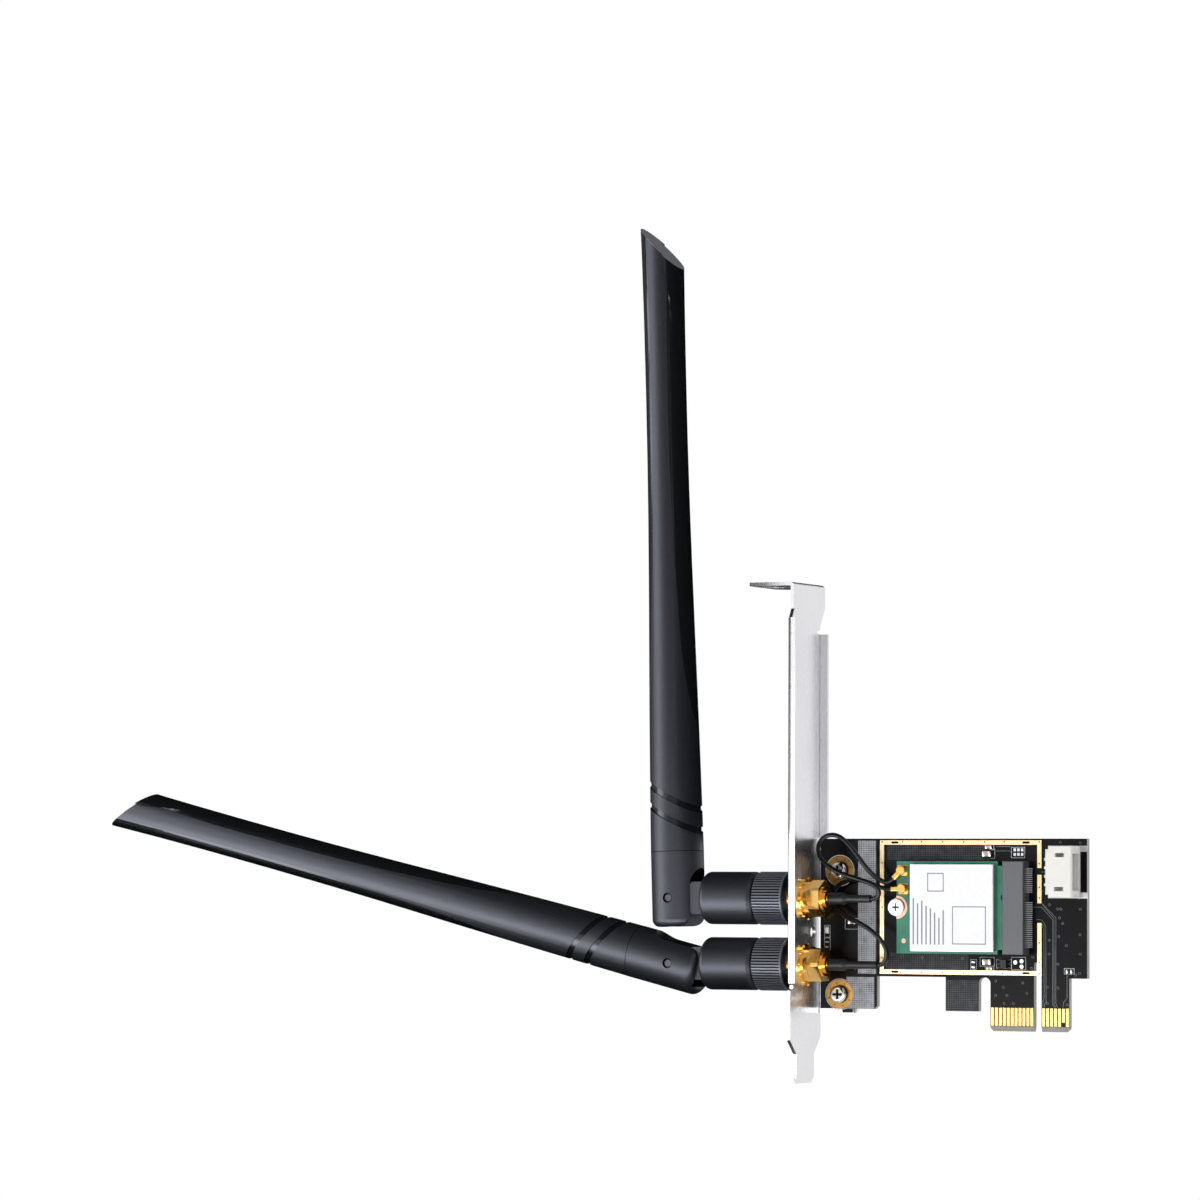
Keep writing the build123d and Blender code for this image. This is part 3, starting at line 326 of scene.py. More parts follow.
# Copper tracks and tented vias under the mask: low ridges and rings, a shade lighter than the mask
# where the resist thins over the copper's edge.
def bead(name, points, width, height, material, closed=False):
    """A flattened bead that follows points on the component face, given as X and Z in mm."""
    line = bpy.data.curves.new(name, "CURVE")
    line.dimensions = "3D"
    line.bevel_depth = width / 2 * MM
    line.bevel_resolution = 1
    line.use_fill_caps = True
    run = line.splines.new("POLY")
    run.points.add(len(points) - 1)
    for point, (x, z) in zip(run.points, points):
        point.co = (x * MM, 0.0, z * MM, 1.0)
    run.use_cyclic_u = closed
    piece = bpy.data.objects.new(name, line)
    bpy.context.scene.collection.objects.link(piece)
    deselect()
    piece.select_set(True)
    bpy.context.view_layer.objects.active = piece
    bpy.ops.object.convert(target="MESH")
    piece = bpy.context.object
    piece.scale = (1.0, 2 * height / width, 1.0)
    bpy.ops.object.transform_apply(location=False, rotation=False, scale=True)
    piece.data.materials.append(material)
    return piece


def circle(x, z, radius, count, start=0.0):
    """Evenly spaced points on a circle on the component face."""
    turns = [math.tau * i / count + start for i in range(count)]
    return [(x + radius * math.cos(turn), z + radius * math.sin(turn)) for turn in turns]


# Solder mask over copper: greyer and paler than on bare core.
track_mask = start_finish("mask_over_copper", "#4A4C52", "#7C7F86", 300.0, Roughness=0.28, IOR=1.5)[0]
track_width = 0.13
track_rise = 0.03
via_radius = 0.27
via_width = 0.1
via_rise = 0.07
tracks = [
    [(1.08, 29.98), (1.3, 29.9), (4.09, 26.76), (4.14, 6.45), (4.55, 5.87)],
    [(-1.2, 29.4), (1.0, 29.4), (3.8, 26.4), (3.76, 6.74), (4.01, 5.86)],
    [(1.08, 30.3), (4.59, 26.91), (4.55, 6.75), (5.02, 5.82)],
    [(-0.3, 26.53), (1.08, 26.39), (2.03, 24.98), (2.1, 7.3), (1.75, 6.6), (1.75, 5.9)],
    [(0.67, 25.79), (1.55, 24.83), (1.61, 8.0), (1.3, 7.2), (1.3, 5.9)],
    [(7.39, 13.55), (7.39, 7.96), (6.44, 6.92), (6.44, 5.9)],
    [(-10.53, 43.7), (-6.9, 43.71)],
    [(-10.53, 42.67), (-6.9, 42.67)],
    [(0.93, 37.7), (2.2, 37.7)],
    [(-46.3, 45.0), (-45.95, 44.4), (-46.3, 43.2), (-46.3, 27.0), (-46.3, 15.5), (-47.2, 14.0)],
]
beads = [bead("track", route, track_width, track_rise, track_mask) for route in tracks]
via_places = [
    (5.68, 44.74),
    (10.73, 44.6),
    (2.98, 29.99),
    (4.98, 29.0),
    (5.83, 28.98),
    (5.51, 26.92),
    (6.3, 25.6),
    (10.71, 29.01),
    (10.64, 22.98),
    (5.33, 22.5),
    (2.86, 21.59),
    (7.24, 20.46),
    (10.7, 18.43),
    (2.86, 18.35),
    (5.11, 16.02),
    (10.54, 13.88),
    (9.6, 13.5),
    (-1.6, 14.93),
    (-1.3, 17.58),
    (-10.69, 11.86),
    (-3.84, 11.5),
    (-8.77, 10.41),
    (-2.73, 9.0),
    (-10.69, 8.46),
    (-7.82, 8.5),
    (-8.62, 6.57),
    (-6.23, 6.6),
    (2.4, 10.54),
    (5.11, 10.43),
    (2.4, 6.77),
    (7.4, 6.49),
    (-19.17, 17.1),
    (-29.56, 17.23),
    (-24.54, 17.15),
    (-46.42, 10.36),
    (-43.34, 10.39),
    (-46.42, 6.42),
    (-43.51, 6.46),
]
for x, z in via_places:
    ring = circle(x, z, via_radius, 12)
    beads.append(bead("via", ring, via_width, via_rise, track_mask, closed=True))
copper_tracks = join("copper_tracks", beads)
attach(copper_tracks, "card")


# Silk screen: matt white epoxy ink, screened on the mask as outlines of the parts. It is a thin
# print, so it is a bead 0.02 mm high.
def outline(x, z, width, height):
    """The four corners of a rectangle on the component face."""
    w, h = width / 2, height / 2
    return [(x - w, z - h), (x + w, z - h), (x + w, z + h), (x - w, z + h)]


# Epoxy ink: matt, and patchy where the screen left it thin.
ink = start_finish("silk_screen_ink", "#8E9092", "#E8E8E6", 1500.0, 3.0, Roughness=0.75, IOR=1.5)[0]
print_rise = 0.02
part_line = 0.16
screw_line = 0.2
screw_x = -51.1
screw_heights = (8.2, 37.9)
screw_ring_radius = 3.7
part_outlines = [
    (-12.9, 42.0, 3.9, 2.2),
    (-12.45, 43.55, 2.5, 1.2),
    (-12.9, 16.4, 3.65, 2.1),
    (-12.3, 14.77, 2.2, 0.8),
    (-8.6, 15.93, 3.76, 2.05),
    (-5.0, 42.3, 3.4, 2.5),
    (-4.85, 16.05, 3.6, 2.95),
    (-16.4, 15.7, 1.45, 2.35),
    (7.93, 14.35, 2.5, 1.3),
    (-54.4, 23.3, 1.5, 2.85),
    (-54.4, 20.3, 1.5, 2.85),
    (-47.4, 25.15, 4.6, 2.55),
]
prints = [
    bead("ink", outline(*sides), part_line, print_rise, ink, closed=True) for sides in part_outlines
]
for height in screw_heights:
    ring = circle(screw_x, height, screw_ring_radius, 48)
    prints.append(bead("ink", ring, screw_line, print_rise, ink, closed=True))
silk_outlines = join("silk_outlines", prints)
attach(silk_outlines, "card")


# Plated copper: the edge contacts are hard gold, and the ground frame and screw pads are a soft
# immersion gold, with small drilled vias along them.
def gold_finish(name, low, high, roughness):
    """Gold plate: one warm metal, its colour and polish slightly uneven over the plated copper."""
    material, tree, shader, _, cloud, _ = start_finish(name, low, high, 420.0, 3.0, Metallic=1.0)
    rough = add_node(
        tree,
        "ShaderNodeMapRange",
        {
            "Value": cloud.outputs["Fac"],
            "To Min": roughness * 0.8,
            "To Max": roughness * 1.25,
        },
    )
    tree.links.new(rough.outputs["Result"], shader.inputs["Roughness"])
    return material


# Hard gold on the contacts, paler immersion gold on the frame, and a browner gold on the screw pads.
hard_gold = gold_finish("hard_gold", "#CB9B5E", "#DBB178", 0.3)
refine("edge_contacts", "gold_fingers", hard_gold)
immersion_gold = gold_finish("immersion_gold", "#E9C896", "#F8E0B9", 0.3)
refine("ground_fence", "ground_frame", immersion_gold)
screw_pad_gold = gold_finish("screw_pad_gold", "#7A5A2A", "#A88048", 0.34)
refine("screw_pads", "screw_rings", screw_pad_gold)

# Drilled vias: dark discs, a painted shade, stand for the mouths of plated holes.
via_painted_shade = start_finish("drilled_via", "#15120D", "#3A2F1E", 3000.0, Roughness=0.6)[0]
mouth_radius = 0.2
mouth_thickness = 0.02
mouth_face = -0.062
pad_via_radius = 2.85
fence_vias = [(x, 44.85) for x in (-40.0, -34.7, -29.8, -24.3, -18.9, -13.5, -8.5, 0.42)]
fence_vias += [(x, 13.67) for x in (-40.0, -35.2, -29.8, -24.3, -18.9, -9.0, 0.42)]
fence_vias += [(-40.03, z) for z in (39.8, 29.2, 23.2, 17.1)]
fence_vias += [(0.42, z) for z in (39.7, 34.1, 31.6, 21.0, 16.4)]
for height in screw_heights:
    fence_vias += circle(screw_x, height, pad_via_radius, 8, 0.3)
drilled = []
for x, z in fence_vias:
    deselect()
    bpy.ops.mesh.primitive_cylinder_add(
        vertices=10,
        radius=mouth_radius * MM,
        depth=mouth_thickness * MM,
        location=(x * MM, mouth_face * MM, z * MM),
        rotation=(math.pi / 2, 0, 0),
    )
    bpy.ops.object.transform_apply(location=True, rotation=True, scale=True)
    dot = bpy.context.object
    dot.data.materials.append(via_painted_shade)
    drilled.append(dot)
drilled_vias = join("drilled_vias", drilled)
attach(drilled_vias, "card")


# Screws: nickel-plated steel, cold-headed pan heads with cross recesses. They are the brightest
# thing on the board, with dark mirror-like streaks from the room.
def screw_finish(name, low, high, scale, head_top, recess, **values):
    """Plated steel with painted shade at these depths below the head's top, as in its cross."""
    material, tree, shader, place, _, plate = start_finish(name, low, high, scale, **values)
    depth = add_node(tree, "ShaderNodeSeparateXYZ", {"Vector": place.outputs["Object"]})
    sunk = add_node(
        tree,
        "ShaderNodeMapRange",
        {
            "Value": depth.outputs["Y"],
            "From Min": (head_top + recess[0]) * MM,
            "From Max": (head_top + recess[1]) * MM,
        },
    )
    # Painted shade: the cross and the head's side below these depths turn a dark brown grey.
    recess_painted_shade = add_node(
        tree,
        "ShaderNodeMix",
        {
            "Factor": sunk.outputs["Result"],
            "A": plate.outputs["Result"],
            "B": colour("#2B2622"),
        },
        data_type="RGBA",
    )
    tree.links.new(recess_painted_shade.outputs["Result"], shader.inputs["Base Color"])
    return material


# Two plates: a mirror-bright one on the board's screws, and a paler, duller one on the module's.
screw_plate = screw_finish(
    "bright_screw_plate",
    "#B9B6B2",
    "#D9D7D4",
    700.0,
    -1.56,
    (0.35, 0.7),
    Metallic=1.0,
    Roughness=0.12,
)
refine("board_screws", "pan_screws", screw_plate)
white_plate = screw_finish(
    "pale_screw_plate",
    "#DEDDDA",
    "#F2F1EF",
    900.0,
    -4.01,
    (0.32, 0.45),
    Metallic=0.6,
    Roughness=0.35,
)
refine("radio_screw", "module_screw", white_plate)
refine("radio_post", "module_post", screw_plate)


# Antenna sockets: brass turned on a lathe, gold plated and polished, with a lock washer, a nut and
# a crimp neck. Fine turning lines run round each face.
turned_gold, tree, shader, place, cloud, _ = start_finish(
    "turned_gold_plate", "#DDAA55", "#F0C981", 250.0, Metallic=1.0
)
rings = add_node(
    tree, "ShaderNodeMapping", {"Vector": place.outputs["Object"], "Scale": (1.0, 0.05, 0.05)}
)
turning = add_node(
    tree, "ShaderNodeTexNoise", {"Vector": rings.outputs["Vector"], "Scale": 5000.0}
)
bump = add_node(
    tree,
    "ShaderNodeBump",
    {"Height": turning.outputs["Fac"], "Strength": 0.03, "Distance": 0.00001},
)
rough = add_node(
    tree, "ShaderNodeMapRange", {"Value": cloud.outputs["Fac"], "To Min": 0.1, "To Max": 0.2}
)
tree.links.new(rough.outputs["Result"], shader.inputs["Roughness"])
tree.links.new(bump.outputs["Normal"], shader.inputs["Normal"])

# PTFE: a waxy, milky white.
ptfe = start_finish("ptfe_insulator", "#E6E5E0", "#F5F4F0", 800.0, Roughness=0.5, IOR=1.35)[0]

# Polyolefin heat-shrink: matt black, dimpled where it has drawn down over the crimp.
heat_shrink, tree, shader, _, drawn, _ = start_finish(
    "polyolefin_heat_shrink",
    "#090A0B",
    "#18191B",
    900.0,
    3.0,
    Roughness=0.42,
    IOR=1.4,
    Specular_IOR_Level=0.4,
)
bump = add_node(
    tree,
    "ShaderNodeBump",
    {"Height": drawn.outputs["Fac"], "Strength": 0.5, "Distance": 0.0001},
)
tree.links.new(bump.outputs["Normal"], shader.inputs["Normal"])

for side in ("upper", "lower"):
    refine(f"{side}_jack", f"{side}_socket_body", turned_gold)
    refine(f"{side}_lock_washer", f"{side}_toothed_washer", turned_gold)
    refine(f"{side}_nut", f"{side}_outer_nut", turned_gold)
    refine(f"{side}_jack_insulator", f"{side}_socket_insulator", ptfe)
    refine(f"{side}_jack_pin", f"{side}_socket_pin", turned_gold)
    refine(f"{side}_sleeve", f"{side}_shrink_sleeve", heat_shrink)


# Radio module: a small green board with bare copper at its notch, a tinned shield can under a
# paper label, and two gold receptacles for the lead plugs.

# Green solder mask: a thinner, uneven coat over the module's laminate.
green_mask = start_finish(
    "green_solder_mask", "#0B4C3C", "#227D62", 420.0, 4.0, Roughness=0.3, IOR=1.5
)[0]
refine("radio_board", "module_board", green_mask)

# Bare copper: a dull pink metal. The receptacles and the leads' plugs share one warm gold.
bare_copper = gold_finish("bare_copper", "#BE8570", "#E2AE9B", 0.35)
refine("radio_pads", "module_pads", bare_copper)
plug_gold = gold_finish("plug_gold", "#C08D42", "#E3B870", 0.28)
refine("radio_jacks", "module_receptacles", plug_gold)
refine("radio_chip", "module_chip", heat_shrink)

# Tin plate: a soft grey metal, pressed into the can.
can_tin = start_finish("tinned_shield_can", "#BDBEC0", "#D6D7D8", 500.0, Metallic=1.0, Roughness=0.3)[0]
refine("radio_shield", "shield_can", can_tin)

# Coated paper: a cool white with a faint fibre.
paper = start_finish("coated_label_paper", "#CACAD2", "#D3D3DB", 1200.0, Roughness=0.5, IOR=1.45)[0]
refine("radio_label", "module_label", paper)

# The label's print is kept to plain rules and empty boxes in grey ink.
rule_ink = start_finish("grey_rule_ink", "#55565A", "#86878C", 2500.0, Roughness=0.6)[0]
label_front = -4.775
rule_thickness = 0.012
rule_width = 0.36
rule_foot = 20.4
box_line = 0.25
rules = []
for x, rule_head in [
    (-29.9, 31.4),
    (-28.8, 30.2),
    (-27.7, 30.8),
    (-26.6, 29.6),
    (-25.5, 29.0),
    (-24.4, 28.0),
    (-23.3, 26.8),
    (-22.2, 28.6),
]:
    middle = (x, label_front, (rule_foot + rule_head) / 2)
    size = (rule_width, rule_thickness, rule_head - rule_foot)
    rules.append(slab("rule", middle, size, rule_ink))
for x, z, width, height in [(-15.6, 25.0, 8.4, 8.8), (-24.2, 35.2, 4.0, 4.2)]:
    for dx, dz, w, h in [
        (0, height / 2, width, box_line),
        (0, -height / 2, width, box_line),
        (width / 2, 0, box_line, height + box_line),
        (-width / 2, 0, box_line, height + box_line),
    ]:
        size = (w, rule_thickness, h)
        rules.append(slab("rule", (x + dx, label_front, z + dz), size, rule_ink))
label_rules = join("label_rules", rules)
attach(label_rules, "card")


# Coaxial leads: 1.13 mm micro coax with a smooth black jacket, from the crimped sleeve at each
# bracket socket, round in a loose loop, to a snap-on plug on the radio module.

# Extruded FEP jacket: very dark, smooth and slightly glossy, with a faint handling haze.
lead_jacket = start_finish(
    "fep_lead_jacket",
    "#060607",
    "#0F1011",
    900.0,
    3.0,
    Roughness=0.3,
    IOR=1.36,
    Specular_IOR_Level=0.35,
)[0]
lead_width = 1.13
lead_routes = {
    "upper": [
        (-40.0, -6.95, 31.2),
        (-38.4, -6.95, 31.2),
        (-37.5, -7.2, 32.9),
        (-39.0, -7.6, 34.6),
        (-42.4, -8.1, 35.8),
        (-46.2, -8.4, 36.8),
        (-49.8, -8.6, 38.4),
        (-52.6, -8.5, 40.8),
        (-53.5, -8.1, 43.8),
        (-51.7, -7.7, 46.3),
        (-48.6, -7.3, 46.5),
        (-46.0, -7.0, 44.5),
        (-43.6, -6.6, 41.4),
        (-41.4, -6.0, 38.3),
        (-39.2, -5.1, 36.0),
        (-36.588, -4.175, 34.712),
        (-35.174, -4.175, 36.126),
    ],
    "lower": [
        (-38.3, -6.95, 15.4),
        (-36.7, -6.95, 15.4),
        (-35.5, -7.2, 18.0),
        (-36.4, -7.5, 20.7),
        (-38.8, -7.8, 23.2),
        (-42.2, -7.4, 25.2),
        (-45.4, -6.2, 26.2),
        (-48.4, -4.6, 27.4),
        (-50.9, -2.9, 29.2),
        (-52.1, -1.9, 31.6),
        (-51.2, -1.9, 34.0),
        (-48.8, -2.9, 35.3),
        (-45.9, -4.4, 35.8),
        (-42.8, -5.2, 35.6),
        (-40.2, -4.9, 34.6),
        (-37.75, -4.175, 33.6),
        (-35.75, -4.175, 33.6),
    ],
}
for side, route in lead_routes.items():
    refine(f"{side}_lead_plug", f"{side}_snap_plug", plug_gold)
    line = bpy.data.curves.new(f"{side}_coax", "CURVE")
    line.dimensions = "3D"
    line.resolution_u = 16
    line.bevel_depth = lead_width / 2 * MM
    line.bevel_resolution = 5
    line.use_fill_caps = True
    run = line.splines.new("NURBS")
    run.points.add(len(route) - 1)
    for point, (x, y, z) in zip(run.points, route):
        point.co = (x * MM, y * MM, z * MM, 1.0)
    run.order_u = 3
    run.use_endpoint_u = True
    lead = bpy.data.objects.new(f"{side}_coax", line)
    bpy.context.scene.collection.objects.link(lead)
    line.materials.append(lead_jacket)
    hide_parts(f"{side}_lead")
    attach(lead, "card")


# Module socket: glass-filled LCP moulding, dark grey and flat, with a row of tinned contacts
# soldered down along its far side.
lcp = start_finish("glass_filled_lcp", "#26282C", "#3F4146", 2400.0, 3.0, Roughness=0.5, IOR=1.6)[0]
refine("radio_socket", "module_socket", lcp)

# Tinned copper: a soft bright grey, on every soldered contact of the card.
tinned = start_finish("tinned_copper", "#B4B6B8", "#DADCDD", 1500.0, Metallic=1.0, Roughness=0.3)[0]
refine("socket_contacts", "module_contacts", tinned)
refine("header_pins", "header_contacts", tinned)
refine("header_tabs", "header_anchors", tinned)
refine("test_pads", "solder_pads", tinned)


# Side-entry header: natural white nylon moulding, faintly warm and slightly glossy, with four
# tinned pins and two soldered anchors.
nylon = start_finish("natural_nylon", "#BCBBB6", "#CAC9C5", 300.0, Roughness=0.42, IOR=1.53)[0]
refine("usb_header", "header_housing", nylon)


# Chip parts: ceramic capacitors, thick-film resistors, a lamp and a regulator, each soldered by
# tinned end caps.

# Fired ceramic: tan, matt and faintly mottled.
ceramic = start_finish("tan_ceramic", "#8B7259", "#B39A7E", 900.0, Roughness=0.4, IOR=1.6)[0]
refine("capacitors", "capacitor_bodies", ceramic)
refine("resistors", "resistor_bodies", heat_shrink)
refine("status_lamp", "lamp_body", ptfe)
refine("regulator", "regulator_chip", heat_shrink)
cap_share = 0.24
cap_overhang = 0.04
cap_rise = 0.05
cap_lift = 0.015
cap_edge = 0.06
chip_sizes = [
    (-12.7, 42.0, 2.1, 1.25, 0.95, "X"),
    (-12.4, 43.6, 1.6, 0.7, 0.5, "X"),
    (-12.7, 16.35, 2.0, 1.25, 0.95, "X"),
    (-12.2, 14.85, 1.3, 0.6, 0.4, "X"),
    (-47.7, 25.65, 2.0, 1.0, 0.7, "X"),
    (-16.3, 15.7, 0.8, 1.6, 0.4, "Z"),
    (8.05, 14.3, 1.5, 0.8, 0.4, "X"),
    (-54.35, 20.1, 0.8, 1.6, 0.4, "Z"),
    (-54.35, 23.6, 0.8, 1.6, 0.27, "Z"),
]
caps = []
for x, z, width, height, tall, along in chip_sizes:
    lengthwise = along == "X"
    span = width if lengthwise else height
    cap = span * cap_share
    size = (
        (cap if lengthwise else width) + cap_overhang,
        tall + cap_rise,
        (height if lengthwise else cap) + cap_overhang,
    )
    for end in (-1, 1):
        centre = [x, -tall / 2 - cap_lift, z]
        centre[0 if lengthwise else 2] += end * (span - cap) / 2
        caps.append(slab("cap", centre, size, tinned, edge=cap_edge))
end_caps = join("solder_end_caps", caps)
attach(end_caps, "card")


# Antennas: injection-moulded ABS, near black with a fine spark-eroded grain that softens every
# highlight. The bevels, the two ring grooves and the cut tip come from polished parts of the mould.
hinge_x = -90.85
port_y = -6.95
port_heights = {"upper": 31.2, "lower": 15.4}
bends = {"upper": 88.25, "lower": 13.7}
knurl_radii = (6.15, 6.37)
pin_radii = (0.75, 0.95)
grained_roughness = 0.42
polished_roughness = 0.24

# Along a whip, places are in millimetres from its hinge. The crease keeps these distances from the
# middle, and the grooves lean by this many degrees.
crease_start = 40.0
crease_end = 165.0
crease_scale = 10.0
crease_ramp = [
    (40.0, 6.3),
    (48.0, 5.4),
    (58.0, 4.3),
    (77.0, 3.2),
    (97.0, 2.4),
    (118.0, 2.15),
    (140.0, 2.3),
    (165.0, 3.0),
]
bevel_fade = 0.12
groove_places = (19.6, 24.7)
groove_half = 0.82
groove_tilt = 28.7
tip_place = 158.7 - 0.06
seam_place = 11.36


def moulded_abs(name, roughness=grained_roughness):
    """Black ABS with a fine grain: its material, tree, shader, coordinates, colour and bump."""
    material, tree, shader, place, grain, tint = start_finish(
        name,
        "#08090B",
        "#1B1C21",
        2200.0,
        3.0,
        Roughness=roughness,
        IOR=1.5,
        Specular_Tint=colour("#E2E7F6"),
    )
    bump = add_node(
        tree,
        "ShaderNodeBump",
        {"Height": grain.outputs["Fac"], "Strength": 0.6, "Distance": 0.00004},
    )
    tree.links.new(bump.outputs["Normal"], shader.inputs["Normal"])
    return material, tree, shader, place, tint, bump


def ringed_abs(name, roughness, centre, across, radii, inner, outer, shine):
    """Black ABS whose colour changes between two radii about a line, as painted shade and highlight.
    Across is 0 along it and 1 off it.
    """
    material, tree, shader, place, _, _ = moulded_abs(name, roughness)
    centred = add_node(
        tree,
        "ShaderNodeMapping",
        {
            "Vector": place.outputs["Object"],
            "Location": [-c * share * MM for c, share in zip(centre, across)],
            "Scale": across,
        },
    )
    radius = add_node(
        tree, "ShaderNodeVectorMath", {0: centred.outputs["Vector"]}, operation="LENGTH"
    )
    beyond = add_node(
        tree,
        "ShaderNodeMapRange",
        {
            "Value": radius.outputs["Value"],
            "From Min": radii[0] * MM,
            "From Max": radii[1] * MM,
        },
    )
    # The two colours paint light and shade: shade in the collars' valleys with a highlight on their
    # crowns, and a shadow round each pin's end.
    wear_and_painted_shade = add_node(
        tree,
        "ShaderNodeMix",
        {"Factor": beyond.outputs["Result"], "A": colour(inner), "B": colour(outer)},
        data_type="RGBA",
    )
    level = add_node(
        tree,
        "ShaderNodeMapRange",
        {"Value": beyond.outputs["Result"], "To Min": shine[0], "To Max": shine[1]},
    )
    tree.links.new(wear_and_painted_shade.outputs["Result"], shader.inputs["Base Color"])
    tree.links.new(level.outputs["Result"], shader.inputs["Specular IOR Level"])
    return material


def whip_abs(name, side):
    """The cover's ABS: grained, and polished on its bevels, grooves and tip, with a painted shadow line
    at its seam.
    """
    material, tree, shader, place, tint, bump = moulded_abs(name)
    along = add_node(
        tree,
        "ShaderNodeMapping",
        {
            "Vector": place.outputs["Object"],
            "Location": (hinge_x * MM, port_y * MM, port_heights[side] * MM),
            "Rotation": (0.0, -math.radians(90 - bends[side]), 0.0),
            "Scale": (MM, MM, MM),
        },
        vector_type="TEXTURE",
    )
    local = add_node(tree, "ShaderNodeSeparateXYZ", {"Vector": along.outputs["Vector"]})

    # Bevels: everything further from the middle than the crease, whose distance follows a curve.
    reach = add_node(
        tree,
        "ShaderNodeMapRange",
        {
            "Value": local.outputs["Z"],
            "From Min": crease_start,
            "From Max": crease_end,
        },
    )
    crease = add_node(tree, "ShaderNodeFloatCurve", {"Value": reach.outputs["Result"]})
    curve = crease.mapping.curves[0]
    while len(curve.points) < len(crease_ramp):
        curve.points.new(0.5, 0.5)
    for point, (distance, half_width) in zip(curve.points, crease_ramp):
        share = (distance - crease_start) / (crease_end - crease_start)
        point.location = (share, half_width / crease_scale)
    crease.mapping.update()
    half = add_node(tree, "ShaderNodeMath", {0: local.outputs["X"]}, operation="ABSOLUTE")
    width = add_node(
        tree,
        "ShaderNodeMath",
        {0: crease.outputs["Value"], 1: crease_scale},
        operation="MULTIPLY",
    )
    beyond = add_node(
        tree,
        "ShaderNodeMath",
        {0: half.outputs["Value"], 1: width.outputs["Value"]},
        operation="SUBTRACT",
    )
    bevel_mask = add_node(
        tree,
        "ShaderNodeMapRange",
        {"Value": beyond.outputs["Value"], "From Min": 0.0, "From Max": bevel_fade},
    )

    # Grooves: two slanted bands round the foot. Tip: everything past a cut at 45 degrees.
    slanted = add_node(
        tree,
        "ShaderNodeMath",
        {0: local.outputs["X"], 1: math.tan(math.radians(groove_tilt)), 2: local.outputs["Z"]},
        operation="MULTIPLY_ADD",
    )
    masks = []
    for groove in groove_places:
        near = add_node(
            tree,
            "ShaderNodeMath",
            {0: slanted.outputs["Value"], 1: groove, 2: groove_half},
            operation="COMPARE",
        )
        masks.append(near.outputs["Value"])
    drop = add_node(
        tree,
        "ShaderNodeMath",
        {0: local.outputs["X"], 1: local.outputs["Z"]},
        operation="ADD",
    )
    tip = add_node(
        tree, "ShaderNodeMath", {0: drop.outputs["Value"], 1: tip_place}, operation="GREATER_THAN"
    )
    masks.append(tip.outputs["Value"])
    polish = bevel_mask.outputs["Result"]
    for mask in masks:
        widest = add_node(tree, "ShaderNodeMath", {0: polish, 1: mask}, operation="MAXIMUM")
        polish = widest.outputs["Value"]

    # Polished ABS is darker, smoother and without the grain, and the cut face of the tip is greyer.
    polish_tint = add_node(
        tree,
        "ShaderNodeMix",
        {"Factor": polish, "A": tint.outputs["Result"], "B": colour("#0C0D0E")},
        data_type="RGBA",
    )
    tip_tint = add_node(
        tree,
        "ShaderNodeMix",
        {
            "Factor": tip.outputs["Value"],
            "A": polish_tint.outputs["Result"],
            "B": colour("#6C6B6E"),
        },
        data_type="RGBA",
    )
    rough = add_node(
        tree,
        "ShaderNodeMapRange",
        {"Value": polish, "To Min": grained_roughness, "To Max": polished_roughness},
    )
    strength = add_node(
        tree, "ShaderNodeMapRange", {"Value": polish, "To Min": 0.6, "To Max": 0.02}
    )

    # The joint with the root: a shadow line where the cover is pushed over its spigot.
    seam = add_node(
        tree, "ShaderNodeMath", {0: local.outputs["Z"], 1: seam_place}, operation="LESS_THAN"
    )
    seam_tint = add_node(
        tree,
        "ShaderNodeMix",
        {
            "Factor": seam.outputs["Value"],
            "A": tip_tint.outputs["Result"],
            "B": colour("#010101"),
        },
        data_type="RGBA",
    )
    shine = add_node(
        tree, "ShaderNodeMapRange", {"Value": seam.outputs["Value"], "To Min": 0.5, "To Max": 0.02}
    )
    tree.links.new(seam_tint.outputs["Result"], shader.inputs["Base Color"])
    tree.links.new(shine.outputs["Result"], shader.inputs["Specular IOR Level"])
    tree.links.new(rough.outputs["Result"], shader.inputs["Roughness"])
    tree.links.new(strength.outputs["Result"], bump.inputs["Strength"])
    return material


# Plain grained ABS on the roots and barrels. On the collars the ribs' valleys carry painted shade and
# their crowns a paler painted highlight, and are shinier; round each hinge pin a dark rim is a painted
# shadow about its greyer end.
grained_abs = moulded_abs("grained_black_abs")[0]
knurled_abs = {}
for side, height in port_heights.items():
    knurled_abs[side] = ringed_abs(
        f"{side}_knurled_abs",
        0.36,
        (0.0, port_y, height),
        (0.0, 1.0, 1.0),
        knurl_radii,
        "#030304",
        "#4A4C52",
        (0.1, 0.6),
    )
pin_abs = {}
for side, height in port_heights.items():
    pin_abs[side] = ringed_abs(
        f"{side}_pin_abs",
        grained_roughness,
        (hinge_x, 0.0, height),
        (1.0, 0.0, 1.0),
        pin_radii,
        "#26272C",
        "#010101",
        (0.6, 0.05),
    )
for side in ("upper", "lower"):
    refine(f"{side}_radome", f"{side}_whip_cover", whip_abs(f"{side}_whip_abs", side))
    refine(f"{side}_clevis", f"{side}_whip_root", grained_abs)
    refine(f"{side}_base", f"{side}_barrel", grained_abs)
    refine(f"{side}_collar", f"{side}_knurled_collar", knurled_abs[side])
    refine(f"{side}_hinge_pin", f"{side}_pivot_pin", pin_abs[side])
    refine(f"{side}_collar_insert", f"{side}_collar_thread", turned_gold)
    refine(f"{side}_ferrule", f"{side}_base_ferrule", turned_gold)
    refine(f"{side}_radiator", f"{side}_whip_rod", turned_gold)


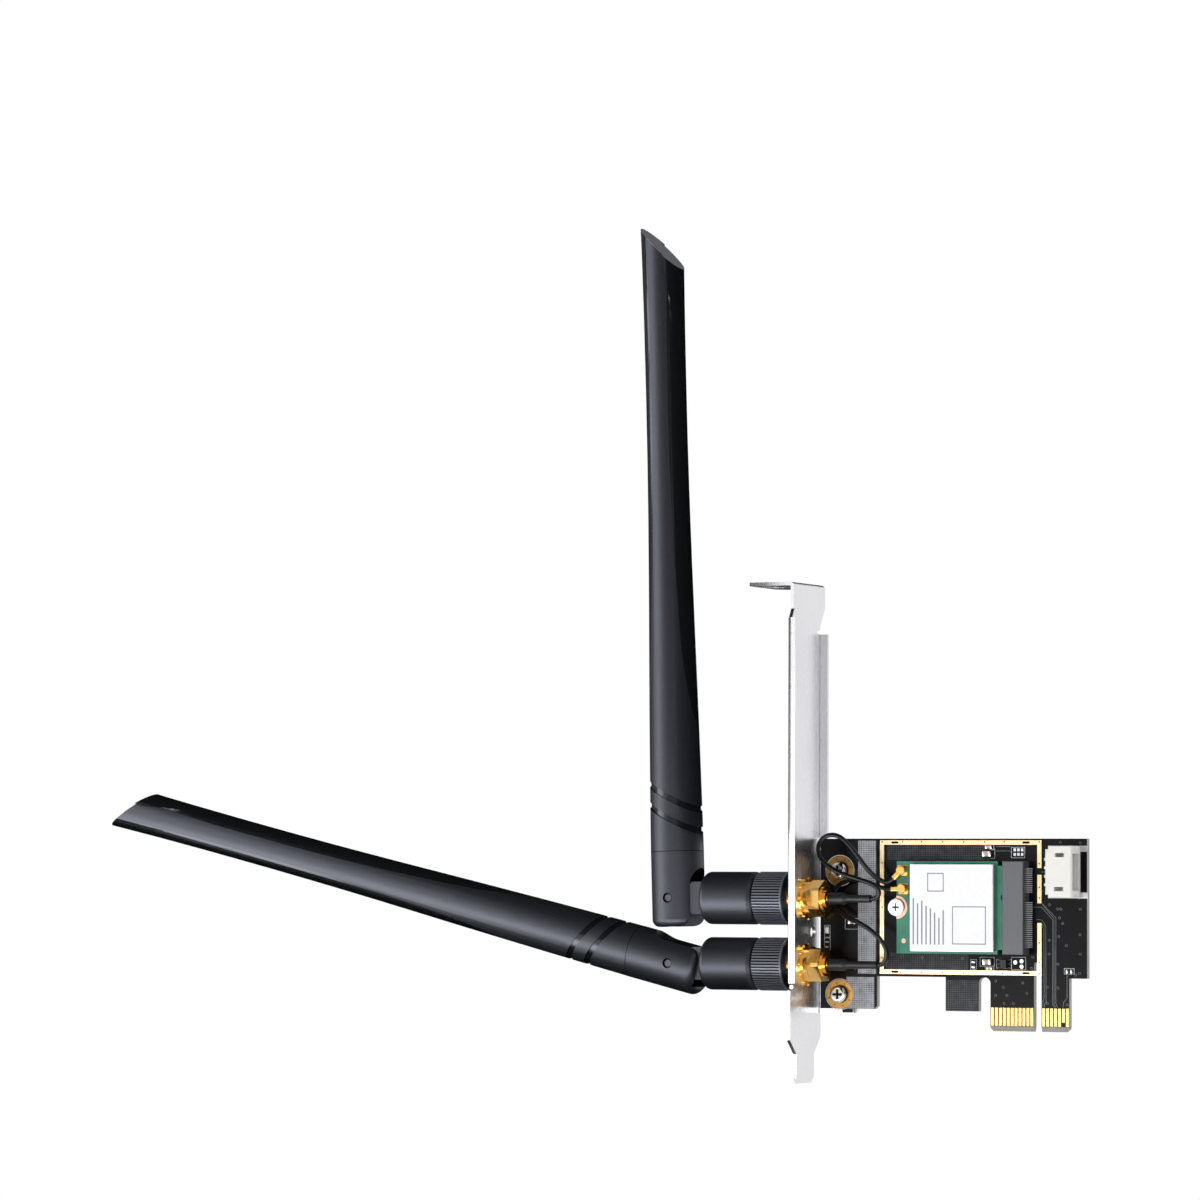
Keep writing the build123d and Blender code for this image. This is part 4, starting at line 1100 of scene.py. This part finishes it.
# Studio: a white table and a white surround, with a large soft key from the upper left, a fill from
# the right and a rim light behind. The lamps light the paper, nylon and ink, and stay out of the
# reflections.
def seen(tree):
    """One for a ray from the camera, from a reflection or through a clear piece, and else zero."""
    ray = add_node(tree, "ShaderNodeLightPath")
    mirrored = add_node(
        tree,
        "ShaderNodeMath",
        {0: ray.outputs["Is Camera Ray"], 1: ray.outputs["Is Glossy Ray"]},
        operation="MAXIMUM",
    )
    through = add_node(
        tree,
        "ShaderNodeMath",
        {0: mirrored.outputs["Value"], 1: ray.outputs["Is Transmission Ray"]},
        operation="MAXIMUM",
    )
    return through.outputs["Value"]


# White table: it takes the light as paint does, and looks plain white wherever it is seen.
table_height = -13.2
floor_paint, tree, shader = start_material(
    "white_table", Base_Color=colour("#F7F7F7"), Roughness=0.9
)
white = add_node(
    tree, "ShaderNodeEmission", {"Color": (1.0, 1.0, 1.0, 1.0), "Strength": 1.0}
)
blend = add_node(
    tree,
    "ShaderNodeMixShader",
    {0: seen(tree), 1: shader.outputs["BSDF"], 2: white.outputs["Emission"]},
)
tree.links.new(blend.outputs["Shader"], tree.nodes["Material Output"].inputs["Surface"])
deselect()
bpy.ops.mesh.primitive_plane_add(size=6.0, location=(0, 0, table_height * MM))
bpy.ops.object.transform_apply(location=True, rotation=True, scale=True)
table = bpy.context.object
table.name = "studio_table"
table.data.materials.append(floor_paint)

# White surround: half as bright for the light it gives as it looks where it is seen.
world = bpy.data.worlds.new("white_surround")
bpy.context.scene.world = world
world.use_nodes = True
tree = world.node_tree
backdrop = tree.nodes["Background"]
backdrop.inputs["Color"].default_value = (1.0, 1.0, 1.0, 1.0)
level = add_node(
    tree, "ShaderNodeMapRange", {"Value": seen(tree), "To Min": 0.5, "To Max": 1.0}
)
tree.links.new(level.outputs["Result"], backdrop.inputs["Strength"])

lamp_aim = Vector((-60, 0, 60))
for name, spot, size, power in [
    ("key", (-700, -900, 900), (0.7, 0.7), 13.5),
    ("fill", (900, -600, 350), (0.6, 0.9), 6.0),
    ("rim", (-300, 900, 700), (0.8, 0.5), 5.0),
]:
    lamp_data = bpy.data.lights.new(name, "AREA")
    lamp_data.shape = "RECTANGLE"
    lamp_data.size, lamp_data.size_y = size
    lamp_data.energy = power
    lamp = bpy.data.objects.new(name, lamp_data)
    bpy.context.scene.collection.objects.link(lamp)
    lamp.location = Vector(spot) * MM
    lamp.rotation_euler = (lamp_aim - Vector(spot)).to_track_quat("-Z", "Y").to_euler()
    lamp.visible_glossy = False


# Cards: black flags keep the white room out of the plastic's edges, four glowing cards draw the
# long highlights, and the left flag is a dim grey. Only reflections see them, and no other ray does.
def card(name, centre, facing, size, level):
    """A flat card, seen in reflections only, that glows at this level. None glows at zero."""
    paint, _, _ = start_material(
        name,
        Base_Color=(0.0, 0.0, 0.0, 1.0),
        Roughness=1.0,
        Specular_IOR_Level=0.0,
        Emission_Color=(1.0, 1.0, 1.0, 1.0),
        Emission_Strength=level,
    )
    deselect()
    bpy.ops.mesh.primitive_plane_add(
        size=1.0,
        location=Vector(centre) * MM,
        rotation=Vector(facing).to_track_quat("Z", "Y").to_euler(),
    )
    sheet = bpy.context.object
    sheet.scale = (size[0] * MM, size[1] * MM, 1.0)
    bpy.ops.object.transform_apply(location=True, rotation=True, scale=True)
    sheet.name = name
    sheet.data.materials.append(paint)
    sheet.visible_camera = False
    sheet.visible_diffuse = False
    sheet.visible_shadow = False
    sheet.visible_transmission = False


for name, centre, facing, size, level in [
    ("back_flag", (-450, 540, 450), (0.32, -0.95, 0.0), (980, 940), 0.0),
    ("top_flag", (-650, -150, 900), (0.0, 0.0, -1.0), (1900, 1700), 0.0),
    ("front_flag", (-650, -950, 520), (0.0, 1.0, 0.0), (1900, 780), 0.0),
    ("left_flag", (-1250, 0, 450), (1.0, 0.0, 0.0), (1100, 1900), 0.3),
    ("right_flag", (900, -420, 300), (-1.0, 0.3, 0.0), (700, 600), 0.0),
    ("whip_flag", (-75, 180, 124), (-1.0, 0.0, 0.0), (440, 156), 0.0),
    ("rear_floor_flag", (-480, 430, -12.9), (0.0, 0.0, 1.0), (840, 940), 0.0),
    ("low_strip", (-230, -125, -12.8), (0.0, 0.0, 1.0), (460, 150), 9.0),
    ("flange_card", (-480, -930, 170), (0.44, 0.89, 0.0), (300, 150), 2.8),
    ("tab_card", (-330, 520, 70), (0.44, -0.89, 0.0), (280, 130), 2.4),
    ("side_strip", (-820, -530, 220), (0.81, 0.59, 0.0), (520, 460), 6.5),
]:
    card(name, centre, facing, size, level)

bpy.context.scene.view_settings.view_transform = "Standard"
